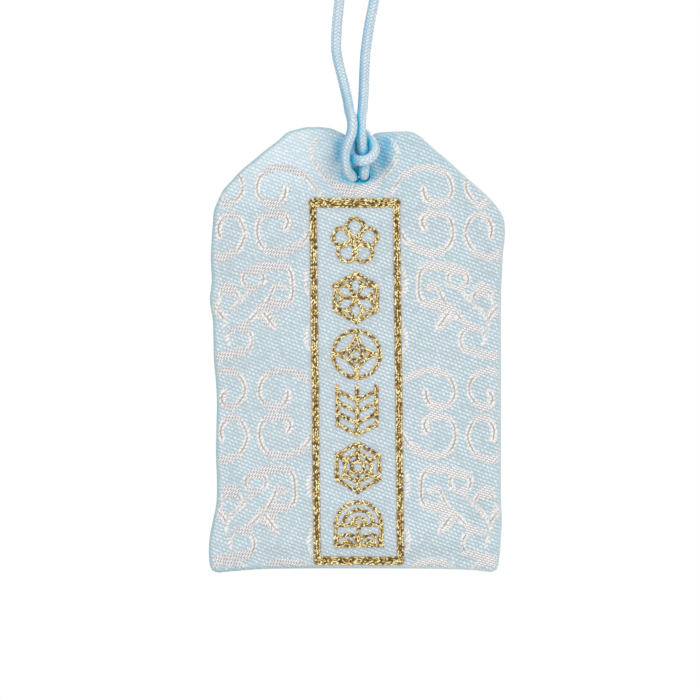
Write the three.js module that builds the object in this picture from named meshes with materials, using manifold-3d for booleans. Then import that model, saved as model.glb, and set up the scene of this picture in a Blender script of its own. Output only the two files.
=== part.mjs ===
// Omamori charm: a brocade pouch that holds a paper-wrapped wooden tablet and hangs from one hitched cord.
// Millimetres, +Z up, the front faces -Y. The origin is the point that the cord's loop hangs from.
import * as THREE from "three";
import { mergeVertices } from "three/addons/utils/BufferGeometryUtils.js";
import Module from "manifold-3d";

const wasm = await Module();
wasm.setup();

// Pouch: its flat outline, front view
const shoulderWidth = 51.4;
const footWidth = 50.2;
const pouchHeight = 76;
const shoulderDrop = 15.6;
const topLeftReach = 11.5;
const topRightReach = 9.6;
const loopDrop = 62;
const footCornerCut = 1.2;
const shoulderCornerCut = 5.5;
const topCornerCut = 1.8;
const mostCutShare = 0.45;
const waistHollow = 0.6;
const footHollow = 0.5;

// Pouch: its cloth, edges and swelling
const clothThickness = 0.5;
const edgeRadius = 1;
const seamGroove = 0.45;
const seamAllowance = 2.6;
const footAllowance = 1.1;
const sideSlope = 6.4;
const footSlope = 5;
const topSlope = 15;
const pinchWidth = 6;
const pinchFade = 6;
const dipDepth = 1.9;
const dipWidth = 2.1;
const dipFade = 7;

// What the pouch holds
const clothClearance = 0.3;
const layerGap = 0.1;
const interfacingThickness = 0.25;
const cardThickness = 0.6;
const cardSideRoom = 2.2;
const cardFootRoom = 3.4;
const cardCorner = 2;
const paperThickness = 0.2;
const tabletThickness = 1.6;
const tabletSideRoom = 3.5;
const tabletEndRoom = 2.5;
const tabletGable = 4;
const paperSideGap = 0.4;
const paperFootRoom = 0.1;
const paperTopRoom = 3.9;

// Gold weft on the front
const goldRise = 0.3;
const goldClearance = 0.15;
const borderWidth = 16.1;
const borderHeight = 63.4;
const borderSideBar = 1.3;
const borderTopBar = 1.8;
const borderFootBar = 1.5;
const borderFootDrop = 1.1;
const motifSize = 8.4;
const motifPitch = 9.75;
const motifStroke = 0.62;
const motifTopGap = 1.5;
const motifTolerance = 0.02;

// Cord, seam thread and the hole that the cord goes through
const cordDiameter = 1.8;
const cordJoint = 0.3;
const holeWidth = 4.2;
const holeHeight = 2.8;
const holeShiftShare = 0.16;
const holeDropShare = 4.3;
const threadDiameter = 0.3;
const stitchPitch = 3.2;
const stitchSwayShare = 0.25;
const cutOverrun = 5;

// Counts of steps and sides
const cordSides = 8;
const threadSides = 4;
const edgeSteps = [10, 9, 6, 16, 6, 9];
const cornerSteps = 3;
const rollSteps = 3;
const slopeSteps = 6;
const neckSteps = 3;
const hitchSteps = 64;
const knotSteps = 44;
const runSteps = 12;
const bendSteps = 10;
const arcSteps = 6;
const borderSteps = [8, 24, 8, 24];

// Places worked out from the sizes
const topZ = -loopDrop;
const footZ = topZ - pouchHeight;
const shoulderZ = topZ - shoulderDrop;
const stack = [
  clothThickness, clothClearance, interfacingThickness, layerGap, cardThickness, layerGap, paperThickness,
  layerGap, tabletThickness, layerGap, paperThickness, layerGap, interfacingThickness, clothClearance,
  clothThickness,
];
const pouchDepth = stack.reduce((sum, layer) => sum + layer);
const fullHalfDepth = pouchDepth / 2;
const contentTop = topZ - topSlope - layerGap;
const contentX = 0;
const cardWidth = Math.min(shoulderWidth, footWidth) - 2 * (sideSlope + cardSideRoom);
const cardHeight = contentTop - footZ - footHollow - footSlope - cardFootRoom;
const tabletWidth = cardWidth - 2 * tabletSideRoom;
const tabletHeight = cardHeight - 2 * tabletEndRoom;
const tabletTop = contentTop - tabletEndRoom;
const paperHeight = tabletHeight - paperFootRoom - paperTopRoom;

const finish = (color, roughness, metalness = 0) =>
  new THREE.MeshStandardMaterial({ color, roughness, metalness });
const satin = finish("#c3e6f6", 0.5);
const gold = finish("#b9973a", 0.35, 0.8);
const braid = finish("#a9d9f3", 0.6);
const thread = finish("#d7eef9", 0.6);
const fleece = finish("#eeeeea", 0.9);
const card = finish("#c9bda4", 0.9);
const washi = finish("#f6f3ea", 0.85);
const wood = finish("#d8b98a", 0.6);

const charm = new THREE.Group();

function place(name, geometry, material) {
  const mesh = new THREE.Mesh(geometry, material);
  mesh.name = name;
  charm.add(mesh);
  return mesh;
}

// Solids for cuts and joins
function solidOf(geometry) {
  const bare = geometry.clone();
  bare.deleteAttribute("normal");
  bare.deleteAttribute("uv");
  const merged = mergeVertices(bare, 1e-4);
  return new wasm.Manifold(
    new wasm.Mesh({
      numProp: 3,
      vertProperties: merged.attributes.position.array,
      triVerts: new Uint32Array(merged.index.array),
    }),
  );
}

function geometryOf(solid) {
  const mesh = solid.getMesh();
  const geometry = new THREE.BufferGeometry();
  geometry.setAttribute("position", new THREE.BufferAttribute(Float32Array.from(mesh.vertProperties), 3));
  geometry.setIndex(Array.from(mesh.triVerts));
  geometry.computeVertexNormals();
  return geometry;
}

// Pouch outline: six straight edges, each moved in by its own distance, with its corners rounded.
const corners = [
  [-footWidth / 2, footZ],
  [footWidth / 2, footZ],
  [shoulderWidth / 2, shoulderZ],
  [topRightReach, topZ],
  [-topLeftReach, topZ],
  [-shoulderWidth / 2, shoulderZ],
].map(([x, z]) => new THREE.Vector2(x, z));
const cornerCuts = [footCornerCut, footCornerCut, shoulderCornerCut, topCornerCut, topCornerCut, shoulderCornerCut];
const [FOOT, RIGHT, RIGHT_SLANT, TOP, LEFT_SLANT, LEFT] = corners.keys();
const edges = corners.map((start, i) => {
  const along = corners[(i + 1) % corners.length].clone().sub(start).normalize();
  return { start, along, inward: new THREE.Vector2(-along.y, along.x) };
});

function edgeCrossing(a, b, insetA, insetB) {
  const from = edges[a].start.clone().addScaledVector(edges[a].inward, insetA);
  const other = edges[b].start.clone().addScaledVector(edges[b].inward, insetB);
  const turn = edges[a].along.cross(edges[b].along);
  return from.addScaledVector(edges[a].along, other.sub(from).cross(edges[b].along) / turn);
}

function outline(insets, cutShare) {
  const tips = corners.map((_, i) => {
    const before = (i + corners.length - 1) % corners.length;
    return edgeCrossing(before, i, insets[before], insets[i]);
  });
  const cutAt = (i) => {
    const reach = [i + 1, i + tips.length - 1].map((j) => tips[i].distanceTo(tips[j % tips.length]));
    return Math.min(cornerCuts[i] * cutShare, mostCutShare * Math.min(...reach));
  };
  const points = [];
  tips.forEach((tip, i) => {
    const next = tips[(i + 1) % tips.length];
    const before = tips[(i + tips.length - 1) % tips.length];
    const cut = cutAt(i);
    const enter = tip.clone().add(before.clone().sub(tip).setLength(cut));
    const leave = tip.clone().add(next.clone().sub(tip).setLength(cut));
    const round = new THREE.QuadraticBezierCurve(enter, tip, leave);
    points.push(...round.getPoints(cornerSteps));
    const end = next.clone().add(tip.clone().sub(next).setLength(cutAt((i + 1) % tips.length)));
    for (let k = 1; k < edgeSteps[i]; k++) points.push(leave.clone().lerp(end, k / edgeSteps[i]));
  });
  return points;
}

// Pouch depth: the cloth rolls over at its edges, then swells over the slope to the flat middle.
const smooth = (share) => share * share * (3 - 2 * share);
const clamp01 = (share) => Math.min(1, Math.max(0, share));
const slopes = [footSlope, sideSlope, sideSlope, topSlope, sideSlope, sideSlope];
const swell = (share) => edgeRadius + (fullHalfDepth - edgeRadius) * smooth(clamp01(share));

// The cloth is pressed flat where the cord is hitched round the top edge.
const holeX = holeShiftShare * cordDiameter;
const holeZ = topZ - holeDropShare * cordDiameter;
function pinch(x, z) {
  const across = Math.exp(-(((x - holeX) / pinchWidth) ** 2));
  const down = 1 - smooth(clamp01((holeZ + holeHeight / 2 - z) / pinchFade - 0.5));
  return across * down;
}
const pinched = (x, z, half) => {
  const spare = Math.max(0, Math.abs(half) - edgeRadius);
  return Math.sign(half) * (Math.abs(half) - spare * pinch(x, z));
};

// The sides draw in at the waist, the foot edge arches up between its corners, and the cord presses the top edge down.
function drape(x, z) {
  const down = clamp01((topZ - z) / pouchHeight);
  const waist = Math.sin(Math.PI * down) ** 2 * waistHollow;
  const foot = footHollow * (1 - (x / (footWidth / 2)) ** 2) * smooth(clamp01(down * 4 - 3));
  const dip = dipDepth * Math.exp(-(((x - holeX) / dipWidth) ** 2)) * (1 - smooth(clamp01((topZ - z) / dipFade)));
  return [x - Math.sign(x) * waist * Math.abs((2 * x) / shoulderWidth) ** 3, z + foot - dip];
}

// Front surface of the pouch over a point of the front view
function frontDepth(x, z) {
  const inside = edges.map(({ start, inward }) => new THREE.Vector2(x, z).sub(start).dot(inward));
  const nearest = Math.min(...inside);
  if (nearest < edgeRadius) return Math.sqrt(Math.max(0, edgeRadius ** 2 - (edgeRadius - nearest) ** 2));
  const share = Math.min(...inside.map((d, i) => (d - edgeRadius) / (slopes[i] - edgeRadius)));
  return pinched(x, z, swell(share));
}

// A stack of outlines, front to back, closed by flat caps
function loft(rings) {
  const count = rings[0].points.length;
  const positions = [];
  for (const { points, y } of rings)
    for (const p of points) {
      const [x, z] = drape(p.x, p.y);
      positions.push(x, pinched(p.x, p.y, y), z);
    }
  const index = [];
  for (let k = 0; k < rings.length - 1; k++)
    for (let i = 0; i < count; i++) {
      const a = k * count + i;
      const b = k * count + ((i + 1) % count);
      index.push(a, b + count, b, a, a + count, b + count);
    }
  const last = (rings.length - 1) * count;
  for (const [a, b, c] of THREE.ShapeUtils.triangulateShape(rings[0].points, [])) index.push(a, b, c);
  for (const [a, b, c] of THREE.ShapeUtils.triangulateShape(rings.at(-1).points, []))
    index.push(last + a, last + c, last + b);
  const geometry = new THREE.BufferGeometry();
  geometry.setAttribute("position", new THREE.Float32BufferAttribute(positions, 3));
  geometry.setIndex(index);
  return geometry;
}

const bothSides = (front, middle = []) => [
  ...front,
  ...middle,
  ...front.toReversed().map(({ points, y }) => ({ points, y: -y })),
];

// Outer skin: flat middle, slope, rolled edge, and the groove where the two panels are sewn together
function pouchSkin() {
  const rings = [];
  for (let k = slopeSteps; k > 0; k--) {
    const share = k / slopeSteps;
    const insets = slopes.map((slope) => edgeRadius + (slope - edgeRadius) * share);
    rings.push({ points: outline(insets, 1 - share / 2), y: -swell(share) });
  }
  for (let k = rollSteps; k > 0; k--) {
    const angle = (Math.PI / 2) * (k / rollSteps);
    const inset = edgeRadius * (1 - Math.cos(angle));
    rings.push({ points: outline(slopes.map(() => inset), 1), y: -edgeRadius * Math.sin(angle) });
  }
  const lip = { points: outline(slopes.map(() => 0), 1), y: -seamGroove / 2 };
  const groove = slopes.map((_, i) => (i === FOOT ? 0 : seamGroove));
  return bothSides([...rings, lip], [{ points: outline(groove, 1), y: 0 }]);
}

// Hollow between the panels, kept clear of the turned-in allowances
function pouchHollow() {
  const allowances = slopes.map((_, i) => (i === FOOT ? footAllowance : seamAllowance));
  const rings = [];
  for (let k = slopeSteps; k > 0; k--) {
    const share = k / slopeSteps;
    const insets = slopes.map((slope, i) => allowances[i] + (slope - allowances[i]) * share);
    const thinnest = Math.min(...insets.map((d, i) => (d - edgeRadius) / (slopes[i] - edgeRadius)));
    const half = (swell(thinnest) - clothThickness) * Math.sqrt(Math.sqrt(share));
    rings.push({ points: outline(insets, 1 - share / 2), y: -half });
  }
  return bothSides(rings, [{ points: outline(allowances, 1), y: 0 }]);
}

function roundRod(width, height, length) {
  const shape = new THREE.Shape();
  shape.absellipse(0, 0, width / 2, height / 2, 0, 2 * Math.PI);
  return new THREE.ExtrudeGeometry(shape, { depth: length, bevelEnabled: false, curveSegments: cornerSteps * 6 });
}

const cordHole = roundRod(holeWidth, holeHeight, pouchDepth + cutOverrun)
  .rotateX(Math.PI / 2)
  .translate(holeX, (pouchDepth + cutOverrun) / 2, holeZ);
const pouch = solidOf(loft(pouchSkin())).subtract(solidOf(loft(pouchHollow()))).subtract(solidOf(cordHole));
place("brocade_pouch", geometryOf(pouch), satin);

// Interfacing: one strip inside the cloth, down the front, round the foot fold and up the back
const interfacingWidth = cardWidth + 2 * clothThickness;
const bendShare = 0.68;
const bendThicknessShare = 1.5;
function interfacingStrip() {
  const outside = fullHalfDepth - clothThickness - clothClearance;
  const inside = outside - interfacingThickness;
  const bendZ = footZ + footHollow + footSlope + layerGap;
  const bendDrop = (footSlope - footAllowance) * bendShare;
  const shape = new THREE.Shape();
  shape.moveTo(-outside, contentTop);
  shape.lineTo(-outside, bendZ);
  const low = bendZ - bendDrop;
  const high = low + interfacingThickness * bendThicknessShare;
  shape.bezierCurveTo(-outside * bendShare, low, outside * bendShare, low, outside, bendZ);
  shape.lineTo(outside, contentTop);
  shape.lineTo(inside, contentTop);
  shape.lineTo(inside, bendZ);
  shape.bezierCurveTo(inside * bendShare, high, -inside * bendShare, high, -inside, bendZ);
  shape.lineTo(-inside, contentTop);
  const strip = new THREE.ExtrudeGeometry(shape, { depth: interfacingWidth, bevelEnabled: false, curveSegments: bendSteps });
  const upright = new THREE.Matrix4().makeBasis(
    new THREE.Vector3(0, 1, 0), new THREE.Vector3(0, 0, 1), new THREE.Vector3(1, 0, 0),
  );
  return strip.applyMatrix4(upright).translate(contentX - interfacingWidth / 2, 0, 0);
}
place("interfacing", interfacingStrip(), fleece);

// A flat plate that stands in the pouch: its outline in the front view, its front face at y
function plate(shape, thickness, y) {
  const solid = new THREE.ExtrudeGeometry(shape, { depth: thickness, bevelEnabled: false, curveSegments: arcSteps });
  return solid.rotateX(Math.PI / 2).translate(contentX, y + thickness, 0);
}

const cardY = -fullHalfDepth + clothThickness + clothClearance + interfacingThickness + layerGap;
const paperY = cardY + cardThickness + layerGap;
const tabletY = paperY + paperThickness + layerGap;

function cardShape() {
  const [x, low, high] = [cardWidth / 2, contentTop - cardHeight, contentTop];
  const shape = new THREE.Shape();
  shape.moveTo(-x + cardCorner, low);
  shape.lineTo(x - cardCorner, low);
  shape.absarc(x - cardCorner, low + cardCorner, cardCorner, -Math.PI / 2, 0);
  shape.absarc(x - cardCorner, high - cardCorner, cardCorner, 0, Math.PI / 2);
  shape.absarc(-x + cardCorner, high - cardCorner, cardCorner, Math.PI / 2, Math.PI);
  shape.absarc(-x + cardCorner, low + cardCorner, cardCorner, Math.PI, 1.5 * Math.PI);
  return shape;
}
place("stiffener_card", plate(cardShape(), cardThickness, cardY), card);

// Wooden tablet with a gabled top, inside one turn of folded paper that is open above and below
function tabletShape() {
  const [x, low, eaves] = [tabletWidth / 2, tabletTop - tabletHeight, tabletTop - tabletGable];
  return new THREE.Shape([
    new THREE.Vector2(-x, low),
    new THREE.Vector2(x, low),
    new THREE.Vector2(x, eaves),
    new THREE.Vector2(0, tabletTop),
    new THREE.Vector2(-x, eaves),
  ]);
}
place("inner_tablet", plate(tabletShape(), tabletThickness, tabletY), wood);

function paperSleeve() {
  const insideX = tabletWidth / 2 + paperSideGap;
  const insideY = tabletThickness / 2 + layerGap;
  const box = (x, y) => [
    new THREE.Vector2(-x, -y),
    new THREE.Vector2(x, -y),
    new THREE.Vector2(x, y),
    new THREE.Vector2(-x, y),
  ];
  const shape = new THREE.Shape(box(insideX + paperThickness, insideY + paperThickness));
  shape.holes.push(new THREE.Path(box(insideX, insideY).toReversed()));
  const sleeve = new THREE.ExtrudeGeometry(shape, { depth: paperHeight, bevelEnabled: false });
  return sleeve.translate(contentX, tabletY + tabletThickness / 2, tabletTop - tabletHeight + paperFootRoom);
}
place("paper_wrapper", paperSleeve(), washi);

// Gold weft border: a flat band that lies on the front of the cloth, round a rectangle
const borderFootZ = footZ + borderFootDrop;
const borderTopZ = borderFootZ + borderHeight;
function borderBand() {
  const [x, low, high] = [borderWidth / 2, borderFootZ, borderTopZ];
  const outer = [[-x, low], [x, low], [x, high], [-x, high]];
  const [ix, iLow, iHigh] = [x - borderSideBar, low + borderFootBar, high - borderTopBar];
  const inner = [[-ix, iLow], [ix, iLow], [ix, iHigh], [-ix, iHigh]];
  const sections = [];
  outer.forEach((start, i) => {
    const end = outer[(i + 1) % outer.length];
    const innerStart = inner[i];
    const innerEnd = inner[(i + 1) % inner.length];
    for (let k = 0; k < borderSteps[i]; k++) {
      const share = k / borderSteps[i];
      const at = (a, b) => [a[0] + (b[0] - a[0]) * share, a[1] + (b[1] - a[1]) * share];
      const [ox, oz] = at(start, end);
      const [nx, nz] = at(innerStart, innerEnd);
      sections.push([[ox, oz], [(ox + nx) / 2, (oz + nz) / 2], [nx, nz]]);
    }
  });
  const across = sections[0].length;
  const positions = [];
  for (const section of sections) {
    for (const [px, pz] of section) positions.push(px, -frontDepth(px, pz) - goldClearance - goldRise, pz);
    for (const [px, pz] of section.toReversed()) positions.push(px, -frontDepth(px, pz) - goldClearance, pz);
  }
  const index = [];
  const around = 2 * across;
  sections.forEach((_, k) => {
    for (let j = 0; j < around; j++) {
      const a = k * around + j;
      const b = k * around + ((j + 1) % around);
      const c = ((k + 1) % sections.length) * around + ((j + 1) % around);
      const d = ((k + 1) % sections.length) * around + j;
      index.push(a, d, c, a, c, b);
    }
  });
  const geometry = new THREE.BufferGeometry();
  geometry.setAttribute("position", new THREE.Float32BufferAttribute(positions, 3));
  geometry.setIndex(index);
  return geometry;
}
place("gold_border", borderBand(), gold);

// Strokes of the gold motifs, drawn in a square from -1 to 1
const motifHalf = motifSize / 2;
function bar(x1, z1, x2, z2) {
  const start = new THREE.Vector2(x1, z1).multiplyScalar(motifHalf);
  const end = new THREE.Vector2(x2, z2).multiplyScalar(motifHalf);
  const along = end.clone().sub(start).setLength(motifStroke / 2);
  const side = new THREE.Vector2(-along.y, along.x);
  start.sub(along);
  end.add(along);
  return new THREE.Shape([
    start.clone().sub(side), end.clone().sub(side), end.clone().add(side), start.clone().add(side),
  ]);
}
function ring(x, z, radius) {
  const shape = new THREE.Shape();
  shape.absarc(x * motifHalf, z * motifHalf, radius * motifHalf + motifStroke / 2, 0, 2 * Math.PI);
  const hole = new THREE.Path();
  hole.absarc(x * motifHalf, z * motifHalf, radius * motifHalf - motifStroke / 2, 0, 2 * Math.PI, true);
  shape.holes.push(hole);
  return shape;
}
function arc(x, z, radius, from, to) {
  const shape = new THREE.Shape();
  const [cx, cz, r] = [x * motifHalf, z * motifHalf, radius * motifHalf];
  shape.absarc(cx, cz, r + motifStroke / 2, from, to);
  shape.absarc(cx, cz, r - motifStroke / 2, to, from, true);
  return shape;
}
function dot(x, z, radius) {
  const shape = new THREE.Shape();
  shape.absarc(x * motifHalf, z * motifHalf, radius * motifHalf, 0, 2 * Math.PI);
  return shape;
}
const turns = (count) => Array.from({ length: count }, (_, k) => (2 * Math.PI * k) / count);
const at = (radius, angle) => [radius * Math.sin(angle), radius * Math.cos(angle)];
const loopOf = (points) => points.map((p, i) => bar(...p, ...points[(i + 1) % points.length]));

// Plum blossom: five round petals about a centre, with a stamen on each
const plumBlossom = () => [
  dot(0, 0, 0.3),
  ...turns(5).map((angle) => ring(...at(0.56, angle), 0.38)),
];

// Hemp leaf: a hexagon, its spokes, and the short lines to the middle of each triangle
const hempLeaf = () => {
  const rim = turns(6).map((angle) => at(1, angle));
  const middles = turns(6).map((angle) => at(0.577, angle + Math.PI / 6));
  return [
    ...loopOf(rim),
    ...middles.flatMap((m, i) => [bar(...rim[i], ...m), bar(...rim[(i + 1) % 6], ...m)]),
    ...middles.slice(0, 3).map((m, i) => bar(...m, ...middles[i + 3])),
  ];
};

// Linked circles: a ring cut by the arcs of its four neighbours
const linkedCircles = () => [
  ring(0, 0, 0.96),
  ...turns(4).map((angle) => {
    const [x, z] = at(0.96 * Math.SQRT2, angle + Math.PI / 4);
    const towards = Math.atan2(-z, -x);
    return arc(x, z, 0.96, towards - Math.PI / 4, towards + Math.PI / 4);
  }),
  ...loopOf(turns(4).map((angle) => at(0.3, angle))),
  ...turns(2).map((angle) => bar(...at(0.32, angle / 2 + Math.PI / 4), ...at(-0.32, angle / 2 + Math.PI / 4))),
];

// Arrow feather: a shaft with barbs in steps, between two side rails
const arrowFeather = () => [
  bar(0, -0.98, 0, 0.98),
  ...[-1, 1].flatMap((side) => [
    bar(0.8 * side, -0.6, 0.8 * side, 0.98),
    ...[-0.98, -0.52, -0.06, 0.4].map((z) => bar(0, z, 0.8 * side, z + 0.42)),
  ]),
];

// Tortoise shell: nested hexagons tied by three spokes
const tortoiseShell = () => [
  ...loopOf(turns(6).map((angle) => at(1, angle))),
  ...loopOf(turns(6).map((angle) => at(0.62, angle))),
  ...turns(6).map((angle) => bar(...at(0.26, angle), ...at(1, angle))),
  ring(0, 0, 0.26),
];

// Waves: two fans of arcs side by side with one rising behind them
const waves = () => [
  bar(-0.96, -0.9, 0.96, -0.9),
  ...[0.94, 0.62, 0.3].map((radius) => arc(0, -0.05, radius, 0, Math.PI)),
  ...[-0.48, 0.48].flatMap((x) => [0.46, 0.2].map((radius) => arc(x, -0.9, radius, 0, Math.PI))),
  bar(-0.94, -0.05, 0.94, -0.05),
  bar(-0.94, -0.05, -0.94, -0.9),
  bar(0.94, -0.05, 0.94, -0.9),
  bar(0, -0.05, 0, -0.9),
];

const motifs = [plumBlossom, hempLeaf, linkedCircles, arrowFeather, tortoiseShell, waves];
const firstMotifZ = borderTopZ - borderTopBar - motifTopGap - motifHalf;
motifs.forEach((motif, row) => {
  const centreZ = firstMotifZ - row * motifPitch;
  const strokes = motif().map((shape) =>
    solidOf(new THREE.ExtrudeGeometry(shape, { depth: goldRise, bevelEnabled: false, curveSegments: arcSteps })),
  );
  const flat = geometryOf(strokes.reduce((all, stroke) => all.add(stroke)).simplify(motifTolerance));
  const spots = flat.attributes.position;
  for (let i = 0; i < spots.count; i++) {
    const [x, z] = [spots.getX(i), spots.getY(i) + centreZ];
    spots.setXYZ(i, x, -frontDepth(x, z) - goldClearance - spots.getZ(i), z);
  }
  flat.computeVertexNormals();
  place(`gold_motif_${row + 1}`, flat, gold);
});

// Cord: one cord, chosen point by point in cord diameters, from one tip to the other. Places are from
// the middle of the pouch's top edge; the two runs end in one overhand knot over the loop.
const hitchRoute = [
  [-0.72, -1.15, 1.9], [-0.56, -2.2, 1.3], [-0.44, -2.88, 0.55], [-0.52, -2.92, -0.3], [-0.85, -2.8, -1.2],
  [-1.1, -2.6, -2], [-1.15, -2.45, -2.85], [-0.96, -1.92, -3.78], [-0.48, -0.8, -4.3], [-0.38, 0, -4.42],
  [-0.32, 0.85, -4.3], [-0.24, 1.36, -3.72], [0.26, 1.46, -2.8], [0.7, 1.4, -1.9], [0.88, 1.36, -1.3],
  [0.86, 1.08, -0.62], [0.8, 0.52, -0.24], [0.8, -0.05, -0.15], [0.86, -0.62, -0.32], [1.05, -1.04, -0.68],
  [1.42, -1.32, -1.02], [1.6, -1.56, -1.38], [1.7, -1.82, -1.86], [1.5, -2.15, -2.4], [1.1, -2.4, -2.8],
  [0.6, -2.44, -2.95], [0.08, -2.16, -2.9], [-0.38, -1.6, -2.6], [-0.62, -1.4, -2.1], [-0.6, -1.34, -1.6],
  [-0.52, -1.32, -1.18], [-0.44, -1.06, -0.64], [-0.36, -0.58, -0.3], [-0.32, 0, -0.17], [-0.3, 0.95, -0.56],
  [-0.26, 1.5, -1.2], [0.06, 2.3, -1.78], [0.5, 2.6, -2.5], [0.75, 2.5, -3.3], [0.86, 1.45, -4.18],
  [0.72, 0, -4.24], [0.66, -0.85, -4.05], [0.7, -1.34, -3.4], [0.72, -1.34, -2.6], [0.54, -1.74, -1.7],
  [0.46, -2.04, -0.9], [0.37, -2.2, -0.2], [0.38, -1.98, 0.5], [0.42, -1.45, 1.2], [0.52, -0.8, 1.9],
];
const leftRoute = [
  [-0.86, -0.5, 2.9], [-1.12, -0.1, 4.1], [-1.44, 0, 5.4], [-1.8, 0, 6.8], [-1.99, 0, 7.9], [-1.92, 0, 10.3],
  [-1.69, 0, 12.7], [-1.6, 0, 17], [-1.62, 0, 22], [-1.4, 0, 27], [-0.95, 0, 31],
];
const rightRoute = [
  [0.6, -0.3, 2.9], [0.66, -0.05, 4.1], [0.71, 0, 5.5], [0.77, 0, 6.8], [0.86, 0, 7.9], [1.2, 0, 10.3],
  [1.66, 0, 12.7], [2.15, 0, 17], [2.2, 0, 22], [1.85, 0, 27], [1.1, 0, 31],
];

// Overhand knot: the middle line of the two cords laid side by side, from the origin upwards
const knotRoute = [
  [0, 0, 0.1], [-0.2, -0.45, 1.9], [0.75, 0.45, 3], [1.7, 0.15, 4], [1.35, -0.55, 5.25], [0.1, -0.65, 5.7],
  [-1.3, -0.25, 5.05], [-1.85, 0.3, 3.7], [-1.25, 0.6, 2.4], [-0.1, 0.7, 1.85], [1.15, 0.25, 1.55],
  [1.75, -0.5, 2.15], [0.95, -0.75, 3.1], [0.15, -0.15, 4.2], [0.02, 0.6, 5.5], [0, 0.35, 6.9], [0, 0.1, 8.1],
];
const knotSpread = 0.56;
const tipRoute = [[0.75, 0, 9.2], [1.05, 0, 10.2]];

const fromTopEdge = ([x, y, z]) => new THREE.Vector3(x, y, z).multiplyScalar(cordDiameter).add(new THREE.Vector3(0, 0, topZ));
const fromOrigin = ([x, y, z]) => new THREE.Vector3(x, y, z).multiplyScalar(cordDiameter);

// One of the two cords in the knot, from the loop to its tip
function knotRun(side) {
  const middle = new THREE.CatmullRomCurve3(knotRoute.map(fromOrigin), false, "centripetal");
  const front = new THREE.Vector3(0, 1, 0);
  const inKnot = knotRoute.map((_, i) => {
    const t = i / (knotRoute.length - 1);
    const across = middle.getTangent(t).cross(front).normalize();
    return middle.getPoint(t).addScaledVector(across, -side * knotSpread * cordDiameter);
  });
  const tip = tipRoute.map(([x, y, z]) => fromOrigin([x * side, y, z]));
  return [...inKnot, ...tip];
}

const leftKnot = knotRun(-1);
const rightKnot = knotRun(1);
const cordPoints = [
  ...leftKnot.toReversed(),
  ...leftRoute.map(fromTopEdge).reverse(),
  ...hitchRoute.map(fromTopEdge),
  ...rightRoute.map(fromTopEdge),
  ...rightKnot,
];
const wholeCord = new THREE.CatmullRomCurve3(cordPoints, false, "centripetal");
const cordAt = (index) => index / (cordPoints.length - 1);

// A stretch of the whole cord between two of its points, cut back by half a joint where it meets the next
class Stretch extends THREE.Curve {
  constructor(from, to) {
    super();
    const speedAt = (t) => wholeCord.getPoint(t + 1e-4).distanceTo(wholeCord.getPoint(t - 1e-4)) / 2e-4;
    const [start, end] = [cordAt(from), cordAt(to)];
    this.start = from > 0 ? start + cordJoint / 2 / speedAt(start) : start;
    this.end = to < cordPoints.length - 1 ? end - cordJoint / 2 / speedAt(end) : end;
  }
  getPoint(t, target = new THREE.Vector3()) {
    return target.copy(wholeCord.getPoint(this.start + (this.end - this.start) * t));
  }
}

function tube(curve, diameter, sides, steps) {
  const section = new THREE.Shape(
    turns(sides).map((angle) => new THREE.Vector2(...at(diameter / 2, angle))),
  );
  return new THREE.ExtrudeGeometry(section, { extrudePath: curve, steps, bevelEnabled: false });
}

const leftKnotEnd = leftKnot.length;
const hitchStart = leftKnotEnd + leftRoute.length;
const hitchEnd = hitchStart + hitchRoute.length - 1;
const rightKnotStart = hitchEnd + 1 + rightRoute.length;
const lastPoint = cordPoints.length - 1;
const neckPoints = 3;
place("cord_hitch", tube(new Stretch(hitchStart, hitchEnd), cordDiameter, cordSides, hitchSteps), braid);
place("cord_neck_left", tube(new Stretch(hitchStart - neckPoints, hitchStart), cordDiameter, cordSides, neckSteps), braid);
place("cord_neck_right", tube(new Stretch(hitchEnd, hitchEnd + neckPoints), cordDiameter, cordSides, neckSteps), braid);
place(
  "cord_run_left",
  tube(new Stretch(leftKnotEnd - 1, hitchStart - neckPoints), cordDiameter, cordSides, runSteps),
  braid,
);
place(
  "cord_run_right",
  tube(new Stretch(hitchEnd + neckPoints, rightKnotStart), cordDiameter, cordSides, runSteps),
  braid,
);
const knotLeft = tube(new Stretch(0, leftKnotEnd - 1), cordDiameter, cordSides, knotSteps);
const knotRight = tube(new Stretch(rightKnotStart, lastPoint), cordDiameter, cordSides, knotSteps);
place("end_knot", geometryOf(solidOf(knotLeft).add(solidOf(knotRight))), braid);

// Seam threads: each lies in its side groove and crosses from lip to lip at every stitch
function seamThread(side) {
  const edge = side < 0 ? edges[LEFT] : edges[RIGHT];
  const depth = seamGroove / 2 - threadDiameter;
  const [low, high] = [footZ + footCornerCut + threadDiameter, shoulderZ - shoulderCornerCut];
  const count = Math.round((high - low) / stitchPitch) * 2;
  const points = Array.from({ length: count + 1 }, (_, k) => {
    const z = low + ((high - low) * k) / count;
    const along = (z - edge.start.y) / edge.along.y;
    const spot = edge.start.clone().addScaledVector(edge.along, along).addScaledVector(edge.inward, depth);
    const [x, dz] = drape(spot.x, spot.y);
    return new THREE.Vector3(x, (k % 2 ? 1 : -1) * stitchSwayShare * threadDiameter, dz);
  });
  return tube(new THREE.CatmullRomCurve3(points, false, "centripetal"), threadDiameter, threadSides, count);
}
place("seam_thread_left", seamThread(-1), thread);
place("seam_thread_right", seamThread(1), thread);

export default charm;
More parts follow.
